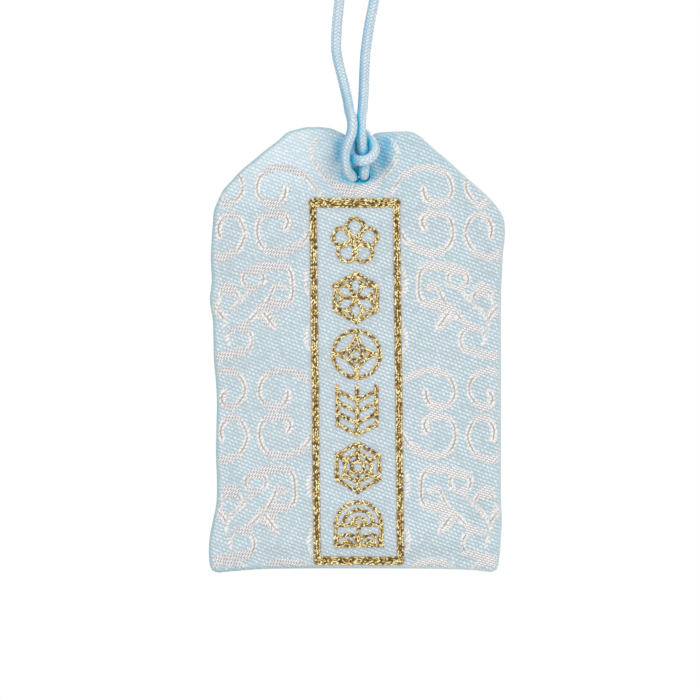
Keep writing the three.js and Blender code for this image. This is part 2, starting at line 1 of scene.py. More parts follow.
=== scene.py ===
# Omamori charm: brocade pouch, gold weft and braided cord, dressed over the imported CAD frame.
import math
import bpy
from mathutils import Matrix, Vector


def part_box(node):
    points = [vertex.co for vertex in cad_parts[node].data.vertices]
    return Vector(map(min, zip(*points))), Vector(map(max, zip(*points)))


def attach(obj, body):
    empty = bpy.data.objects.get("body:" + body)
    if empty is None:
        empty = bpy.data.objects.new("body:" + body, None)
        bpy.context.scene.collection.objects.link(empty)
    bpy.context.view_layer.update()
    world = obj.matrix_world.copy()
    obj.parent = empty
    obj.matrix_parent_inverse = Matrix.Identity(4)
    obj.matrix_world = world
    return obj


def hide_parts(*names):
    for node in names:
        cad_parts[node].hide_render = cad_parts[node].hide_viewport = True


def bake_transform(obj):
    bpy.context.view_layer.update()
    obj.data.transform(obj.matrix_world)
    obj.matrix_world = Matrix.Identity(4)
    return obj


bl_info = {
    "name": "Omamori charm",
    "version": (1, 0, 0),
    "blender": (4, 5, 0),
    "location": "3D View > Sidebar > Omamori",
    "description": "Dresses a packed omamori charm with brocade, gold weft and braided cord",
    "category": "Add Mesh",
}

import bpy
import numpy as np
from bpy.props import FloatProperty, FloatVectorProperty, IntProperty, PointerProperty
from bpy.types import Operator, Panel, PropertyGroup

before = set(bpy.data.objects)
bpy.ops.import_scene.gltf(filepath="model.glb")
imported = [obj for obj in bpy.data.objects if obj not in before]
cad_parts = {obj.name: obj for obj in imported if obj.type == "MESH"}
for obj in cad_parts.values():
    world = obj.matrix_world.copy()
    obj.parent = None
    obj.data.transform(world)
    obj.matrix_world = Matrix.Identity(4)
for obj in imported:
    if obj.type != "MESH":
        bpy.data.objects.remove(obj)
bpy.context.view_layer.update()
MM = 0.001

# Pouch, as the CAD has it
LOOP_DROP = 62 * MM
FOOT_Z = -138 * MM
EDGE_RADIUS = 1 * MM
HALF_DEPTH = 2.6 * MM
SEAM_GROOVE = 0.45 * MM
SIDE_SLOPE = 6.4 * MM
FOOT_SLOPE = 5 * MM
TOP_SLOPE = 15 * MM
PINCH_WIDTH = 6 * MM
PINCH_FADE = 6 * MM
HOLE_WIDTH = 4.2 * MM
HOLE_HEIGHT = 2.8 * MM

# Cord route in cord diameters, as the CAD has it
CORD_DIAMETER = 1.8 * MM
HOLE_X = 0.16 * CORD_DIAMETER
HOLE_Z = -LOOP_DROP - 4.3 * CORD_DIAMETER
HITCH_ROUTE = [
    (-0.72, -1.15, 1.9), (-0.56, -2.2, 1.3), (-0.44, -2.88, 0.55), (-0.52, -2.92, -0.3),
    (-0.85, -2.8, -1.2), (-1.1, -2.6, -2), (-1.15, -2.45, -2.85), (-0.96, -1.92, -3.78),
    (-0.48, -0.8, -4.3), (-0.38, 0, -4.42), (-0.32, 0.85, -4.3), (-0.24, 1.36, -3.72), (0.26, 1.46, -2.8),
    (0.7, 1.4, -1.9), (0.88, 1.36, -1.3), (0.86, 1.08, -0.62), (0.8, 0.52, -0.24), (0.8, -0.05, -0.15),
    (0.86, -0.62, -0.32), (1.05, -1.04, -0.68), (1.42, -1.32, -1.02), (1.6, -1.56, -1.38),
    (1.7, -1.82, -1.86), (1.5, -2.15, -2.4), (1.1, -2.4, -2.8), (0.6, -2.44, -2.95), (0.08, -2.16, -2.9),
    (-0.38, -1.6, -2.6), (-0.62, -1.4, -2.1), (-0.6, -1.34, -1.6), (-0.52, -1.32, -1.18),
    (-0.44, -1.06, -0.64), (-0.36, -0.58, -0.3), (-0.32, 0, -0.17), (-0.3, 0.95, -0.56), (-0.26, 1.5, -1.2),
    (0.06, 2.3, -1.78), (0.5, 2.6, -2.5), (0.75, 2.5, -3.3), (0.86, 1.45, -4.18), (0.72, 0, -4.24),
    (0.66, -0.85, -4.05), (0.7, -1.34, -3.4), (0.72, -1.34, -2.6), (0.54, -1.74, -1.7), (0.46, -2.04, -0.9),
    (0.37, -2.2, -0.2), (0.38, -1.98, 0.5), (0.42, -1.45, 1.2), (0.52, -0.8, 1.9),
]
LEFT_ROUTE = [
    (-0.86, -0.5, 2.9), (-1.12, -0.1, 4.1), (-1.44, 0, 5.4), (-1.8, 0, 6.8), (-1.99, 0, 7.9),
    (-1.92, 0, 10.3), (-1.69, 0, 12.7), (-1.6, 0, 17), (-1.62, 0, 22), (-1.4, 0, 27), (-0.95, 0, 31),
]
RIGHT_ROUTE = [
    (0.6, -0.3, 2.9), (0.66, -0.05, 4.1), (0.71, 0, 5.5), (0.77, 0, 6.8), (0.86, 0, 7.9), (1.2, 0, 10.3),
    (1.66, 0, 12.7), (2.15, 0, 17), (2.2, 0, 22), (1.85, 0, 27), (1.1, 0, 31),
]
KNOT_ROUTE = [
    (0, 0, 0.1), (-0.2, -0.45, 1.9), (0.75, 0.45, 3), (1.7, 0.15, 4), (1.35, -0.55, 5.25),
    (0.1, -0.65, 5.7), (-1.3, -0.25, 5.05), (-1.85, 0.3, 3.7), (-1.25, 0.6, 2.4), (-0.1, 0.7, 1.85),
    (1.15, 0.25, 1.55), (1.75, -0.5, 2.15), (0.95, -0.75, 3.1), (0.15, -0.15, 4.2), (0.02, 0.6, 5.5),
    (0, 0.35, 6.9), (0, 0.1, 8.1),
]
TIP_ROUTE = [(0.75, 0, 9.2), (1.05, 0, 10.2)]
KNOT_SPREAD = 0.56
CORD_NODES = (
    "cord_hitch", "cord_neck_left", "cord_neck_right", "cord_run_left", "cord_run_right", "end_knot",
)

# The hitch's two passes through the hole
CORDS_IN_HOLE = [(x, z) for x, y, z in HITCH_ROUTE if y == 0 and z < -4]

# The braid turns by one radian in this many mm; painted blue shade darkens it near another pass and on its
# side towards a neighbour
CORD_TWIST = 60
CROWD_FADE = 0.75 * MM
NEIGHBOUR_FADE = 5 * MM

# Outline of the cloth in mm, each run from the corner that it starts at
TOP_RUN = [
    (-11.6, -61.85), (-10.6, -61.6), (-9.9, -61.42), (-9, -61.22), (-7.8, -61.16), (-6.4, -61.18),
    (-4.5, -61.4), (-3.4, -61.85), (-2.4, -62.3), (-1.2, -63.2), (0.3, -63.8), (1.7, -63.25), (2.9, -62.4),
    (4.3, -62.05), (7.5, -61.93), (8.9, -61.92), (9.7, -62.03),
]
RIGHT_RUN = [
    (9.7, -62.03), (10.8, -62.62), (11.8, -63.48), (13.7, -65.2), (15.8, -66.95), (17.7, -68.7),
    (19.6, -70.4), (21.6, -72.16), (23.2, -73.7), (24.4, -75.1), (25.2, -76.4), (25.6, -77.7), (25.7, -79),
    (25.6, -81), (25.35, -83), (25.2, -86), (25.1, -88), (25, -92), (25, -100), (25, -109), (25, -118),
    (25, -126), (25.15, -129.5), (25, -132), (24.85, -134.7), (24.65, -136.4), (24.5, -137.3), (24.2, -138),
]
FOOT_RUN = [
    (24.2, -138), (23.4, -138.35), (22.4, -138.3), (20.3, -138.05), (18, -137.95), (15.8, -137.87),
    (11.3, -137.8), (0, -137.75), (-11.3, -137.78), (-15.8, -137.83), (-18, -137.95), (-20.3, -138.13),
    (-22.6, -138.32), (-24.2, -138.45), (-25.1, -138.1),
]
LEFT_RUN = [
    (-25.1, -138.1), (-25.5, -137.2), (-25.65, -136), (-25.7, -134.7), (-25.5, -132), (-25, -129.5),
    (-24.4, -126.5), (-24.3, -122.5), (-24.45, -118), (-24.35, -112), (-24.3, -108.6), (-24.5, -105),
    (-24.8, -101.7), (-24.9, -98.2), (-25, -94.8), (-25.5, -91.3), (-25.2, -87.8), (-25.35, -84),
    (-25.2, -80.5), (-25, -77.8), (-24.8, -75.7), (-24.1, -73.9), (-23.2, -72.1), (-21.7, -70.4),
    (-20.1, -68.7), (-18, -66.95), (-15.9, -65.2), (-13.7, -63.5), (-12.5, -62.4), (-11.6, -61.85),
]

# Woven figure in mm: outwards from the middle of the cloth, and down from the top of its repeat
FIGURE_TOP_Z = -68.25
FIGURE_REPEATS = (0, 35.1, 68.2)
UPPER_CURL = [
    (5.3, 5.4), (6.9, 3.5), (8.2, 1.8), (9.6, 0.9), (10.9, 0.35), (12.6, 0), (14.5, 0.35), (16.1, 1.4),
    (16.8, 3), (16.8, 4.5), (15.9, 5.7), (14.3, 6.4), (12.9, 6.1), (12.1, 5), (11.9, 3.8),
]
LOWER_CURL = [
    (11.9, 10.4), (11.5, 9.4), (12.2, 8.3), (13.5, 8), (15.2, 8.2), (16.4, 9), (16.9, 10.8), (16.7, 12.5),
    (15.7, 14.1), (14, 14.75), (11.9, 14.6), (10, 13.7), (8.6, 12.5), (8, 11.4),
]
UPPER_HOOK = [
    (25.2, 1.2), (24.6, 0.7), (23.8, 0.2), (22.4, 0), (21, 0.5), (20, 1.4), (19.4, 2.6), (19.4, 4), (20, 5),
    (20.8, 5.9), (22, 6.4), (23.1, 5.8), (23.5, 4.8), (23, 3.9),
]
LOWER_HOOK = [
    (23.5, 11.8), (23.7, 10.4), (23, 9), (21.6, 8.2), (20.2, 8.7), (19.4, 10.1), (19, 11.5), (19.4, 12.8),
    (20.2, 14.2), (21.6, 15.1), (23.2, 15.6), (24.7, 15.2), (25.6, 14.8),
]
HEART = [(6.4, -4.7), (7.3, -3.4), (7.3, -1.8), (6.5, -0.3), (5.3, 1.3), (3.8, 2.5), (2.4, 3.4), (0, 4.3)]
BRANCH = [
    (18, 17.9), (17, 17.5), (15.7, 17.2), (13.5, 17.1), (11.9, 17.3), (11.1, 18.4), (10.9, 20.3),
    (10.9, 22), (11.4, 23.2), (12.8, 23.7), (14.5, 23.6), (15.8, 24.2), (17, 25), (18.3, 26.4), (20, 27.6),
    (21.5, 28.1), (22.4, 29.3), (22, 30.6),
]
BRANCH_FOOT = [
    (19.9, 27.9), (18.6, 28.3), (18, 29.6), (18.2, 31), (19, 31.7), (20.4, 32), (22, 32.4), (24.2, 32.8),
]
BUD = [(16.1, 20), (15.9, 18.8), (17, 18), (18.4, 18), (19.4, 18.9), (19.2, 20.2), (18, 20.8)]
STEM = [
    (15.9, 19.8), (16.6, 20.6), (18, 21.4), (19.4, 22.6), (20.8, 24), (22, 25.2), (22.7, 26.4),
    (22.9, 28.1),
]
LEAF = [(12.6, 20.9), (13.4, 20.4), (14.2, 20.9), (14.7, 22.2), (15.8, 24)]
BROAD_LEAF = [(16.2, 25), (15.4, 25.9), (14.8, 26.8), (14.2, 27.5)]
LOBE = [(20.2, 22.6), (20.8, 21.6), (21.6, 21.1), (22.6, 21.2), (23.3, 21.9)]
LOBE_FOOT = [(23.3, 21.9), (23.5, 23), (24.2, 24.3)]
TENDRIL = [(24.4, 24.4), (23.6, 25.2), (22.9, 26.4), (22.9, 28.4)]
SIDE_ARC_UPPER = [(7.4, 17), (8.3, 17.9), (8.6, 19.4), (8.5, 21), (7.8, 22.4)]
SIDE_ARC_LOWER = [(7.4, 26.8), (8.3, 27.8), (8.6, 29.2), (8.5, 30.8), (7.8, 32)]
HEART_FOOT = [(3.4, 3.2), (1.6, 4), (0, 4.4)]
HEART_KNOT = [(1.3, 5), (0, 5.1)]

# Each stroke of the figure with its widths in mm, evenly spaced from its start to its end
FIGURE_STROKES = (
    (UPPER_CURL, (0.5, 0.75, 0.85, 0.8, 1.3)), (LOWER_CURL, (1.3, 0.8, 0.85, 0.95, 0.9)),
    (UPPER_HOOK, (0.7, 0.85, 0.75, 0.8, 1.2)), (LOWER_HOOK, (1.2, 0.8, 0.75, 0.9, 1)),
    (HEART, (0.5, 0.6, 0.6, 0.65, 0.9)), (HEART_FOOT, (0.8, 1.3, 1.5)), (HEART_KNOT, (0.7, 1.1)),
    (BRANCH, (0.9, 1, 0.8, 1.2, 0.7, 0.5)), (BRANCH_FOOT, (0.8, 0.75, 1, 1)), (BUD, (0.7, 0.95, 0.7)),
    (STEM, (0.6, 0.5, 0.6, 0.4)), (LEAF, (0.9, 0.7, 0.9)), (BROAD_LEAF, (1.3, 2, 1.6, 1)),
    (LOBE, (0.6, 1.1, 1.7, 0.9)), (LOBE_FOOT, (0.4, 0.3, 0.8)), (TENDRIL, (1.7, 1, 0.4, 0.3)),
    (SIDE_ARC_UPPER, (0.5, 0.6, 0.5)), (SIDE_ARC_LOWER, (0.5, 0.6, 0.5)),
)

# Widening of every stroke, and how much more of it where a stroke lies flat
STROKE_GAIN = 1.1
FLAT_GAIN = 0.42

# The cloth's pattern leans: its middle is left of the charm's at the border's top and right at its foot
LEAN_TOP = -0.39 * MM
LEAN_FOOT = 0.35 * MM

# Gold weft, in the cloth's own coordinates
BORDER_WIDTH = 15.6 * MM
BORDER_TOP_Z = -73.6 * MM
BORDER_FOOT_Z = -137.05 * MM
BORDER_SIDE_BAR = 1.2 * MM
BORDER_TOP_BAR = 1.65 * MM
BORDER_FOOT_BAR = 1.4 * MM
MOTIF_HALF = 4.2 * MM
MOTIF_PITCH = 9.75 * MM
MOTIF_STROKE = 0.62 * MM
FIRST_MOTIF_Z = -81.1 * MM
SPIN_STRAY = 0.75

# Soft folds in mm: where each starts and ends, half its width and its height; a hollow is below zero
FRONT_FOLDS = [
    ((-3.2, -63.4), (-3.1, -67), 0.9, -0.3), ((5, -63.6), (4.7, -67.4), 1.2, -0.35),
    ((-3.2, -63.5), (-9.5, -70.5), 1.5, 0.16), ((-2.6, -66), (-5.6, -73), 1.1, -0.14),
    ((3.6, -64.2), (10.5, -70), 1.5, 0.14), ((4.1, -67), (7.4, -73.4), 1.2, -0.12),
    ((-14, -66.8), (-20.6, -72.8), 1.4, -0.1), ((14, -67.2), (21.5, -74.2), 1.4, -0.1),
    ((-22.6, -78), (-23.4, -92), 1.1, 0.12), ((-22.3, -106), (-22.2, -126), 1.2, -0.1),
    ((22.9, -80), (22.6, -100), 1.2, 0.1), ((22.3, -108), (22.7, -130), 1.2, -0.08),
    ((-20, -133.5), (-12, -135.8), 1, -0.1), ((12, -135.6), (21.5, -133), 1, -0.1),
    ((-13, -96), (-20.5, -99), 2.4, 0.07), ((12.5, -120), (20.5, -117), 2.4, 0.07),
]
BACK_FOLDS = [
    ((-3, -64), (-8, -73), 1.5, 0.2), ((3.6, -64.5), (9.2, -72.5), 1.6, 0.18),
    ((0.6, -72.4), (0.9, -80), 1.3, -0.16), ((-15, -67.2), (-20.5, -76), 1.6, -0.12),
    ((15.4, -68), (21, -76.5), 1.6, -0.12), ((-22.4, -84), (-22.7, -116), 1.2, 0.1),
    ((22.5, -90), (22.4, -122), 1.2, -0.1), ((-18, -132.5), (14, -135.2), 1.2, -0.12),
    ((-10, -92), (8, -98), 3, 0.08), ((-6, -116), (13, -111), 3, 0.08),
]

# Painted blue shade in the hollows beside the hitch in mm: where each starts and ends, half its width and its
# strength
HOLLOW_SHADES = [((-3, -64), (-3, -66.6), 0.9, 0.8), ((5, -64), (4.4, -67.2), 1.4, 0.85)]

# Waves of the cloth: puckers beside the seams, with distances in mm, and a ripple all over
PUCKER_HEIGHT = 0.09 * MM
PUCKER_PITCH = 3.2
PUCKER_INSET = 2.2
PUCKER_SPREAD = 1.1
RIPPLE_HEIGHT = 0.035 * MM

# Tunnel of the cord's hole: half its width at the cords and between them in cord diameters, and its rows
HOLE_FIT = 0.52
HOLE_WAIST = 0.03
TUNNEL_ROWS = 3

# How far from the hitch the cloth may be painted with shade: to each side of the middle and below the hole
HITCH_REACH = 11 * MM
HITCH_DROP = 5 * MM

# Over these lengths the outline's corners are rounded, the painted blue shade fades at both ends of the
# hollows and away from the cord, and the darkest painted shade fades away from the cord
CORNER_FADE = 1 * MM
HOLLOW_FADE = 1.8 * MM
BLUE_FADE = 1.35 * MM
DEEP_FADE = 0.6 * MM

# How far the figure's strokes are looked for, the distance that says there is none, and its raised rim
FIGURE_REACH = 2.5 * MM
NO_FIGURE = 9 * MM
FIGURE_RIM = 0.15 * MM
FIGURE_RIM_FADE = 0.4 * MM

# Fleece and paper, camera and floor
SHEET_STATIONS = 49
PAPER_CORNER = 0.3 * MM
PAPER_SPLIT = 0.4 * MM
CAMERA_PLACE = (-0.0012, -0.4557, -0.09985)
FLOOR_Z = -0.2
FLOOR_RADIUS = 0.25


def srgb(red, green, blue):
    """A screen colour from 0 to 255 as the linear colour that a shader takes."""
    shares = [value / 255 for value in (red, green, blue)]
    return tuple(share / 12.92 if share <= 0.04045 else ((share + 0.055) / 1.055) ** 2.4 for share in shares)


def colour(name, description, value):
    return FloatVectorProperty(
        name=name, description=description, default=srgb(*value), subtype="COLOR", size=3, min=0, max=1
    )


def length(name, description, value):
    return FloatProperty(
        name=name, description=description, default=value, min=0, precision=5,
        subtype="DISTANCE", unit="LENGTH",
    )


def whole(name, description, value, least=0):
    return IntProperty(name=name, description=description, default=value, min=least)


def watts(name, description, value):
    return FloatProperty(name=name, description=description, default=value, unit="POWER")


class OmamoriCordSettings(PropertyGroup):
    sides: whole("Sides", "Faces round the cord", 24, 8)
    step: length("Step", "Distance along the cord between two rings of faces", 0.25 * MM)
    relief: length("Braid relief", "Depth of the grooves between the braid's plaits", 0.14 * MM)
    plait_pitch: length("Plait pitch", "Length of one bead of the braid along the cord", 0.62 * MM)
    columns: whole("Plait columns", "Columns of plaits round the cord", 8, 4)
    pale: colour("Cord pale", "Top of each plait", (246, 251, 254))
    shade: colour("Cord shade", "Grooves between the plaits", (146, 202, 228))
    # Painted shade on the side of a run that looks towards its neighbour on the left
    side: colour("Cord side", "Side of a run that looks towards its neighbour on the left", (76, 164, 204))
    # Painted blue shade in the crevices where the cord lies close to another pass of itself
    deep: colour("Cord deep", "Cord where it lies close to another pass of itself", (8, 216, 255))


class OmamoriClothSettings(PropertyGroup):
    columns: whole("Columns", "Columns of faces across each panel", 168, 24)
    rows: whole("Rows", "Rows of faces down each panel", 248, 24)
    twill_pitch: length("Twill pitch", "Distance down the cloth between two twill lines", 0.65 * MM)
    float_length: length("Warp float", "Length of one light float of the twill", 0.69 * MM)
    stitch_length: length("Figure stitch", "Length of one stitch of the woven figure", 0.68 * MM)
    stitch_pitch: length("Figure stitch pitch", "Distance down the cloth between two stitches", 0.42 * MM)
    figure_rise: length("Figure rise", "How far the figure stands above the ground", 0.09 * MM)
    light: colour("Ground light", "Light floats of the twill ground", (241, 248, 251))
    dark: colour("Ground dark", "Lines between the floats", (176, 196, 203))
    figure: colour("Figure light", "Light floats of the woven figure", (255, 254, 252))
    outline: colour("Figure dark", "Gaps between the figure's floats", (176, 172, 176))
    # The rolled edges are painted: shade on the left edge, light on the right one
    left_edge_shade: colour("Left edge", "Cloth at the rolled edge on the left", (158, 196, 204))
    right_edge_light: colour("Right edge", "Cloth at the rolled edge on the right", (205, 226, 230))
    # Painted blue shade in the hollows round the cord
    hollow: colour("Hollow", "Tint of the cloth in the hollows round the cord", (104, 214, 249))
    # Painted deep blue shade inside the cord's hole and right beside the cord
    inside: colour("Inside", "Cloth inside the cord's hole", (6, 222, 255))


class OmamoriGoldSettings(PropertyGroup):
    float_length: length("Gold float", "Length of one gold float", 0.52 * MM)
    float_width: length("Gold float width", "Width of one gold float", 0.27 * MM)
    float_height: length("Gold float height", "Height of one gold float", 0.24 * MM)
    pitch: length("Gold pitch", "Distance between two gold floats", 0.36 * MM)
    stray: length("Gold stray", "How far a float may lie from its even place", 0.11 * MM)
    seed: whole("Seed", "Seed for the floats' places, turns, sizes and glint", 7)
    # Each float's colour runs from dark to bright with a random glint: painted glints and shade on the metal
    # thread
    bright: colour("Gold bright", "Bright floats", (255, 247, 196))
    middle: colour("Gold middle", "Floats between bright and dark", (222, 190, 112))
    deep: colour("Gold deep", "Floats in half shade", (160, 122, 52))
    dark: colour("Gold dark", "Dark floats and the gaps between them", (72, 52, 16))
    halo: colour("Gold halo", "Cloth close beside the gold weft", (203, 199, 201))


class OmamoriStitchSettings(PropertyGroup):
    pitch: length("Stitch pitch", "Distance between two stitches", 1.6 * MM)
    length: length("Stitch length", "Length of one stitch", 1.7 * MM)
    thread: length("Thread", "Diameter of the thread", 0.27 * MM)
    inset: length("Inset", "How deep the stitches lie in the groove", 0.2 * MM)
    slant: FloatProperty(
        name="Slant", description="Turn of each stitch out of the seam's run", default=0.3, subtype="ANGLE"
    )


class OmamoriContentsSettings(PropertyGroup):
    fleece: length("Fleece", "Thickness of the fleece strip", 0.25 * MM)
    paper: length("Paper", "Thickness of the paper round the tablet", 0.2 * MM)


class OmamoriStageSettings(PropertyGroup):
    lens: FloatProperty(
        name="Lens", description="Focal length of the camera", default=135, subtype="DISTANCE_CAMERA"
    )
    key_power: watts("Key light", "Power of the large front light", 1.45)
    fill_power: watts("Fill light", "Power of the side light", 0.6)
    back_power: watts("Back light", "Power of the light behind", 1.6)
    surround: FloatProperty(name="Surround", description="Strength of the light from all round", default=0.62)


def maths(operation):
    """A method that adds a Math node with this operation."""
    return lambda value, *others: value.math(operation, value, *others)


class Value:
    """An output of a node. Sums and products of values add Math nodes."""

    def __init__(self, recipe, socket):
        self.recipe, self.socket = recipe, socket

    def math(self, operation, *values):
        return self.recipe.node("ShaderNodeMath", {"operation": operation}, dict(enumerate(values)))

    def __rsub__(self, other):
        return self.math("SUBTRACT", other, self)

    __add__ = __radd__ = maths("ADD")
    __sub__ = maths("SUBTRACT")
    __mul__ = __rmul__ = maths("MULTIPLY")
    __truediv__ = maths("DIVIDE")
    __abs__ = maths("ABSOLUTE")
    fraction = maths("FRACT")
    floor = maths("FLOOR")
    cosine = maths("COSINE")
    largest = maths("MAXIMUM")

    def wave(self):
        """1 halfway between two whole numbers and 0 on them."""
        return 0.5 - (self * (2 * math.pi)).cosine() * 0.5

    def hypot(self, other):
        return self.math("SQRT", self * self + other * other)

    def step(self, low, high):
        """0 below low, 1 above high, smooth between; falls instead of rises if low is the greater."""
        if low > high:
            return 1 - self.step(high, low)
        settings = {"interpolation_type": "SMOOTHSTEP"}
        return self.recipe.node("ShaderNodeMapRange", settings, {0: self, 1: low, 2: high, 3: 0.0, 4: 1.0})


class Recipe:
    """The nodes of a material, a world or a node group, and the calls that add to them."""

    def __init__(self, owner):
        self.owner = self.tree = owner
        if not isinstance(owner, bpy.types.NodeTree):
            owner.use_nodes = True
            self.tree = owner.node_tree
        self.tree.nodes.clear()

    def node(self, kind, settings=None, sockets=None, output=0):
        node = self.tree.nodes.new(kind)
        for name, value in (settings or {}).items():
            if name == "stops":
                ramp = node.color_ramp
                while len(ramp.elements) < len(value):
                    ramp.elements.new(1)
                for element, (place, shade) in zip(ramp.elements, value):
                    element.position, element.color = place, (*shade, 1)
            else:
                setattr(node, name, value)
        for name, value in (sockets or {}).items():
            socket = node.inputs[name]
            if isinstance(value, Value):
                self.tree.links.new(value.socket, socket)
            elif socket.type == "RGBA":
                socket.default_value = (*value, 1)
            else:
                socket.default_value = value
        return Value(self, node.outputs[output])

    def outputs(self, kind, sockets=None):
        """All outputs of a new node, by their names."""
        node = self.node(kind, sockets=sockets).socket.node
        return {socket.name: Value(self, socket) for socket in node.outputs}

    def attribute(self, name, output=1):
        return self.node("ShaderNodeAttribute", {"attribute_name": name}, output=output)

    def split(self, vector):
        return self.outputs("ShaderNodeSeparateXYZ", {0: vector}).values()

    def join(self, x, y, z):
        return self.node("ShaderNodeCombineXYZ", sockets={0: x, 1: y, 2: z})

    def place(self):
        return self.node("ShaderNodeTexCoord", output="Object")

    def mix(self, share, first, second, blend="MIX"):
        settings = {"data_type": "RGBA", "blend_type": blend}
        return self.node("ShaderNodeMix", settings, {0: share, 6: first, 7: second}, output=2)

    def noise(self, vector, scale, detail=2.0, roughness=0.5):
        sockets = {"Vector": vector, "Scale": scale, "Detail": detail, "Roughness": roughness}
        return self.node("ShaderNodeTexNoise", sockets=sockets)

    def luck(self, x, y):
        """A random number for each pair of whole numbers."""
        sockets = {"Vector": self.join(x, y, 0.0)}
        return self.node("ShaderNodeTexWhiteNoise", {"noise_dimensions": "2D"}, sockets)

    def bump(self, height, distance, strength=1.0):
        sockets = {"Strength": strength, "Distance": distance, "Height": height}
        return self.node("ShaderNodeBump", sockets=sockets)

    def surface(self, **sockets):
        names = [name.replace("_", " ").title().replace("Ior", "IOR") for name in sockets]
        shader = self.node("ShaderNodeBsdfPrincipled", sockets=dict(zip(names, sockets.values())))
        return self.end("ShaderNodeOutputMaterial", shader)

    def end(self, kind, value):
        """Links a value to the tree's own output and returns what the tree belongs to."""
        self.tree.links.new(value.socket, self.tree.nodes.new(kind).inputs[0])
        return self.owner


def curve_at(points, shares):
    """Points of the centripetal curve through the given points, at shares of its spans."""
    points = np.asarray(points, float)
    spot = np.asarray(shares, float) * (len(points) - 1)
    index = np.minimum(spot.astype(int), len(points) - 2)
    weight = (spot - index)[:, None]
    longer = np.vstack((2 * points[0] - points[1], points, 2 * points[-1] - points[-2]))
    p0, p1, p2, p3 = (longer[index + step] for step in range(4))
    pairs = ((p0, p1), (p1, p2), (p2, p3))
    g0, g1, g2 = (np.linalg.norm(b - a, axis=1, keepdims=True) ** 0.5 for a, b in pairs)
    leave = ((p1 - p0) / g0 - (p2 - p0) / (g0 + g1) + (p2 - p1) / g1) * g1
    enter = ((p2 - p1) / g1 - (p3 - p1) / (g1 + g2) + (p3 - p2) / g2) * g1
    square, cube = weight**2, weight**3
    return (
        (2 * cube - 3 * square + 1) * p1 + (cube - 2 * square + weight) * leave
        + (3 * square - 2 * cube) * p2 + (cube - square) * enter
    )


def arc_lengths(points):
    return np.concatenate(([0], np.cumsum(np.linalg.norm(np.diff(points, axis=0), axis=1))))


def unit(vectors):
    return vectors / np.linalg.norm(vectors, axis=1, keepdims=True)


def bell(distance, width):
    """1 at no distance, falling off smoothly on both sides."""
    return np.exp(-((distance / width) ** 2))


def resample(points, count):
    """The same line with its points evenly spaced."""
    along = arc_lengths(points)
    even = np.linspace(0, along[-1], count)
    return np.stack([np.interp(even, along, points[:, axis]) for axis in range(points.shape[1])], axis=1)


def smooth_line(points, count):
    return resample(curve_at(points, np.linspace(0, 1, 24 * len(points))), count)


def smooth(share):
    share = np.clip(share, 0, 1)
    return share * share * (3 - 2 * share)


def nearest_on_lines(spots, lines, reach=1.0, batch=1500):
    """The nearest place on any line within reach, as four columns: distance to the line's side, signed offset
    from its middle, length along it and how upright it is. A line's third column is half its width."""
    starts, ends, lengths = [], [], []
    for line in lines:
        full = line if line.shape[1] > 2 else np.column_stack([line, np.zeros(len(line))])
        starts.append(full[:-1])
        ends.append(full[1:])
        lengths.append(arc_lengths(line[:, :2])[:-1])
    starts, ends, lengths = np.vstack(starts), np.vstack(ends), np.concatenate(lengths)
    runs = ends - starts
    sizes = np.maximum(np.hypot(runs[:, 0], runs[:, 1]), 1e-9)
    lows, highs = np.minimum(starts[:, 1], ends[:, 1]), np.maximum(starts[:, 1], ends[:, 1])
    found = np.full((len(spots), 4), reach)
    for first in range(0, len(spots), batch):
        here = spots[first : first + batch]
        near = (highs > here[:, 1].min() - reach) & (lows < here[:, 1].max() + reach)
        if not near.any():
            continue
        start, run, size = starts[near], runs[near], sizes[near]
        part = here[:, None, :] - start[None, :, :2]
        shares = np.clip((part * run[:, :2]).sum(2) / size**2, 0, 1)
        offsets = part - shares[..., None] * run[:, :2]
        distances = np.sqrt((offsets**2).sum(2))
        outside = distances - start[:, 2] - shares * run[:, 2]
        nearest = outside.argmin(1)
        rows = np.arange(len(nearest))
        chosen, offset = run[nearest], offsets[rows, nearest]
        side = np.sign(chosen[:, 0] * offset[:, 1] - chosen[:, 1] * offset[:, 0])
        found[first : first + batch] = np.stack([
            outside[rows, nearest],
            side * distances[rows, nearest],
            lengths[near][nearest] + shares[rows, nearest] * size[nearest],
            np.abs(chosen[:, 1]) / size[nearest],
        ], axis=1)
    return found


def line_distance(spots, lines, reach=1.0):
    return nearest_on_lines(spots, lines, reach)[:, 0]


def crease(spots, start, end, width):
    """1 along a straight fold that is given in mm, falling off over half its width."""
    return bell(line_distance(spots, [np.array([start, end]) * MM]), width * MM)


def new_object(name, data):
    made = bpy.data.objects.new(name, data)
    bpy.context.scene.collection.objects.link(made)
    return made


def new_piece(name, vertices, faces, material):
    mesh = bpy.data.meshes.new(name)
    mesh.from_pydata(np.asarray(vertices).tolist(), [], faces if isinstance(faces, list) else faces.tolist())
    mesh.validate()
    mesh.update()
    mesh.polygons.foreach_set("use_smooth", np.ones(len(mesh.polygons), bool))
    if material:
        mesh.materials.append(material)
    return new_object(name, mesh)


def store(piece, name, values, domain="POINT"):
    """Keeps a number or a vector for each vertex or corner, for the material to read."""
    values = np.asarray(values, np.float32)
    kind, key = ("FLOAT_VECTOR", "vector") if values.ndim == 2 else ("FLOAT", "value")
    attribute = piece.data.attributes.new(name, kind, domain)
    attribute.data.foreach_set(key, values.ravel())


def ring_faces(first, second):
    """Faces between two closed rings of vertex numbers."""
    return np.stack([first, np.roll(first, -1), np.roll(second, -1), second], axis=1)


def lean(z):
    """How far the cloth's pattern is to the right at a height."""
    share = (BORDER_TOP_Z - np.asarray(z)) / (BORDER_TOP_Z - BORDER_FOOT_Z)
    return LEAN_TOP + (LEAN_FOOT - LEAN_TOP) * np.clip(share, -0.15, 1)


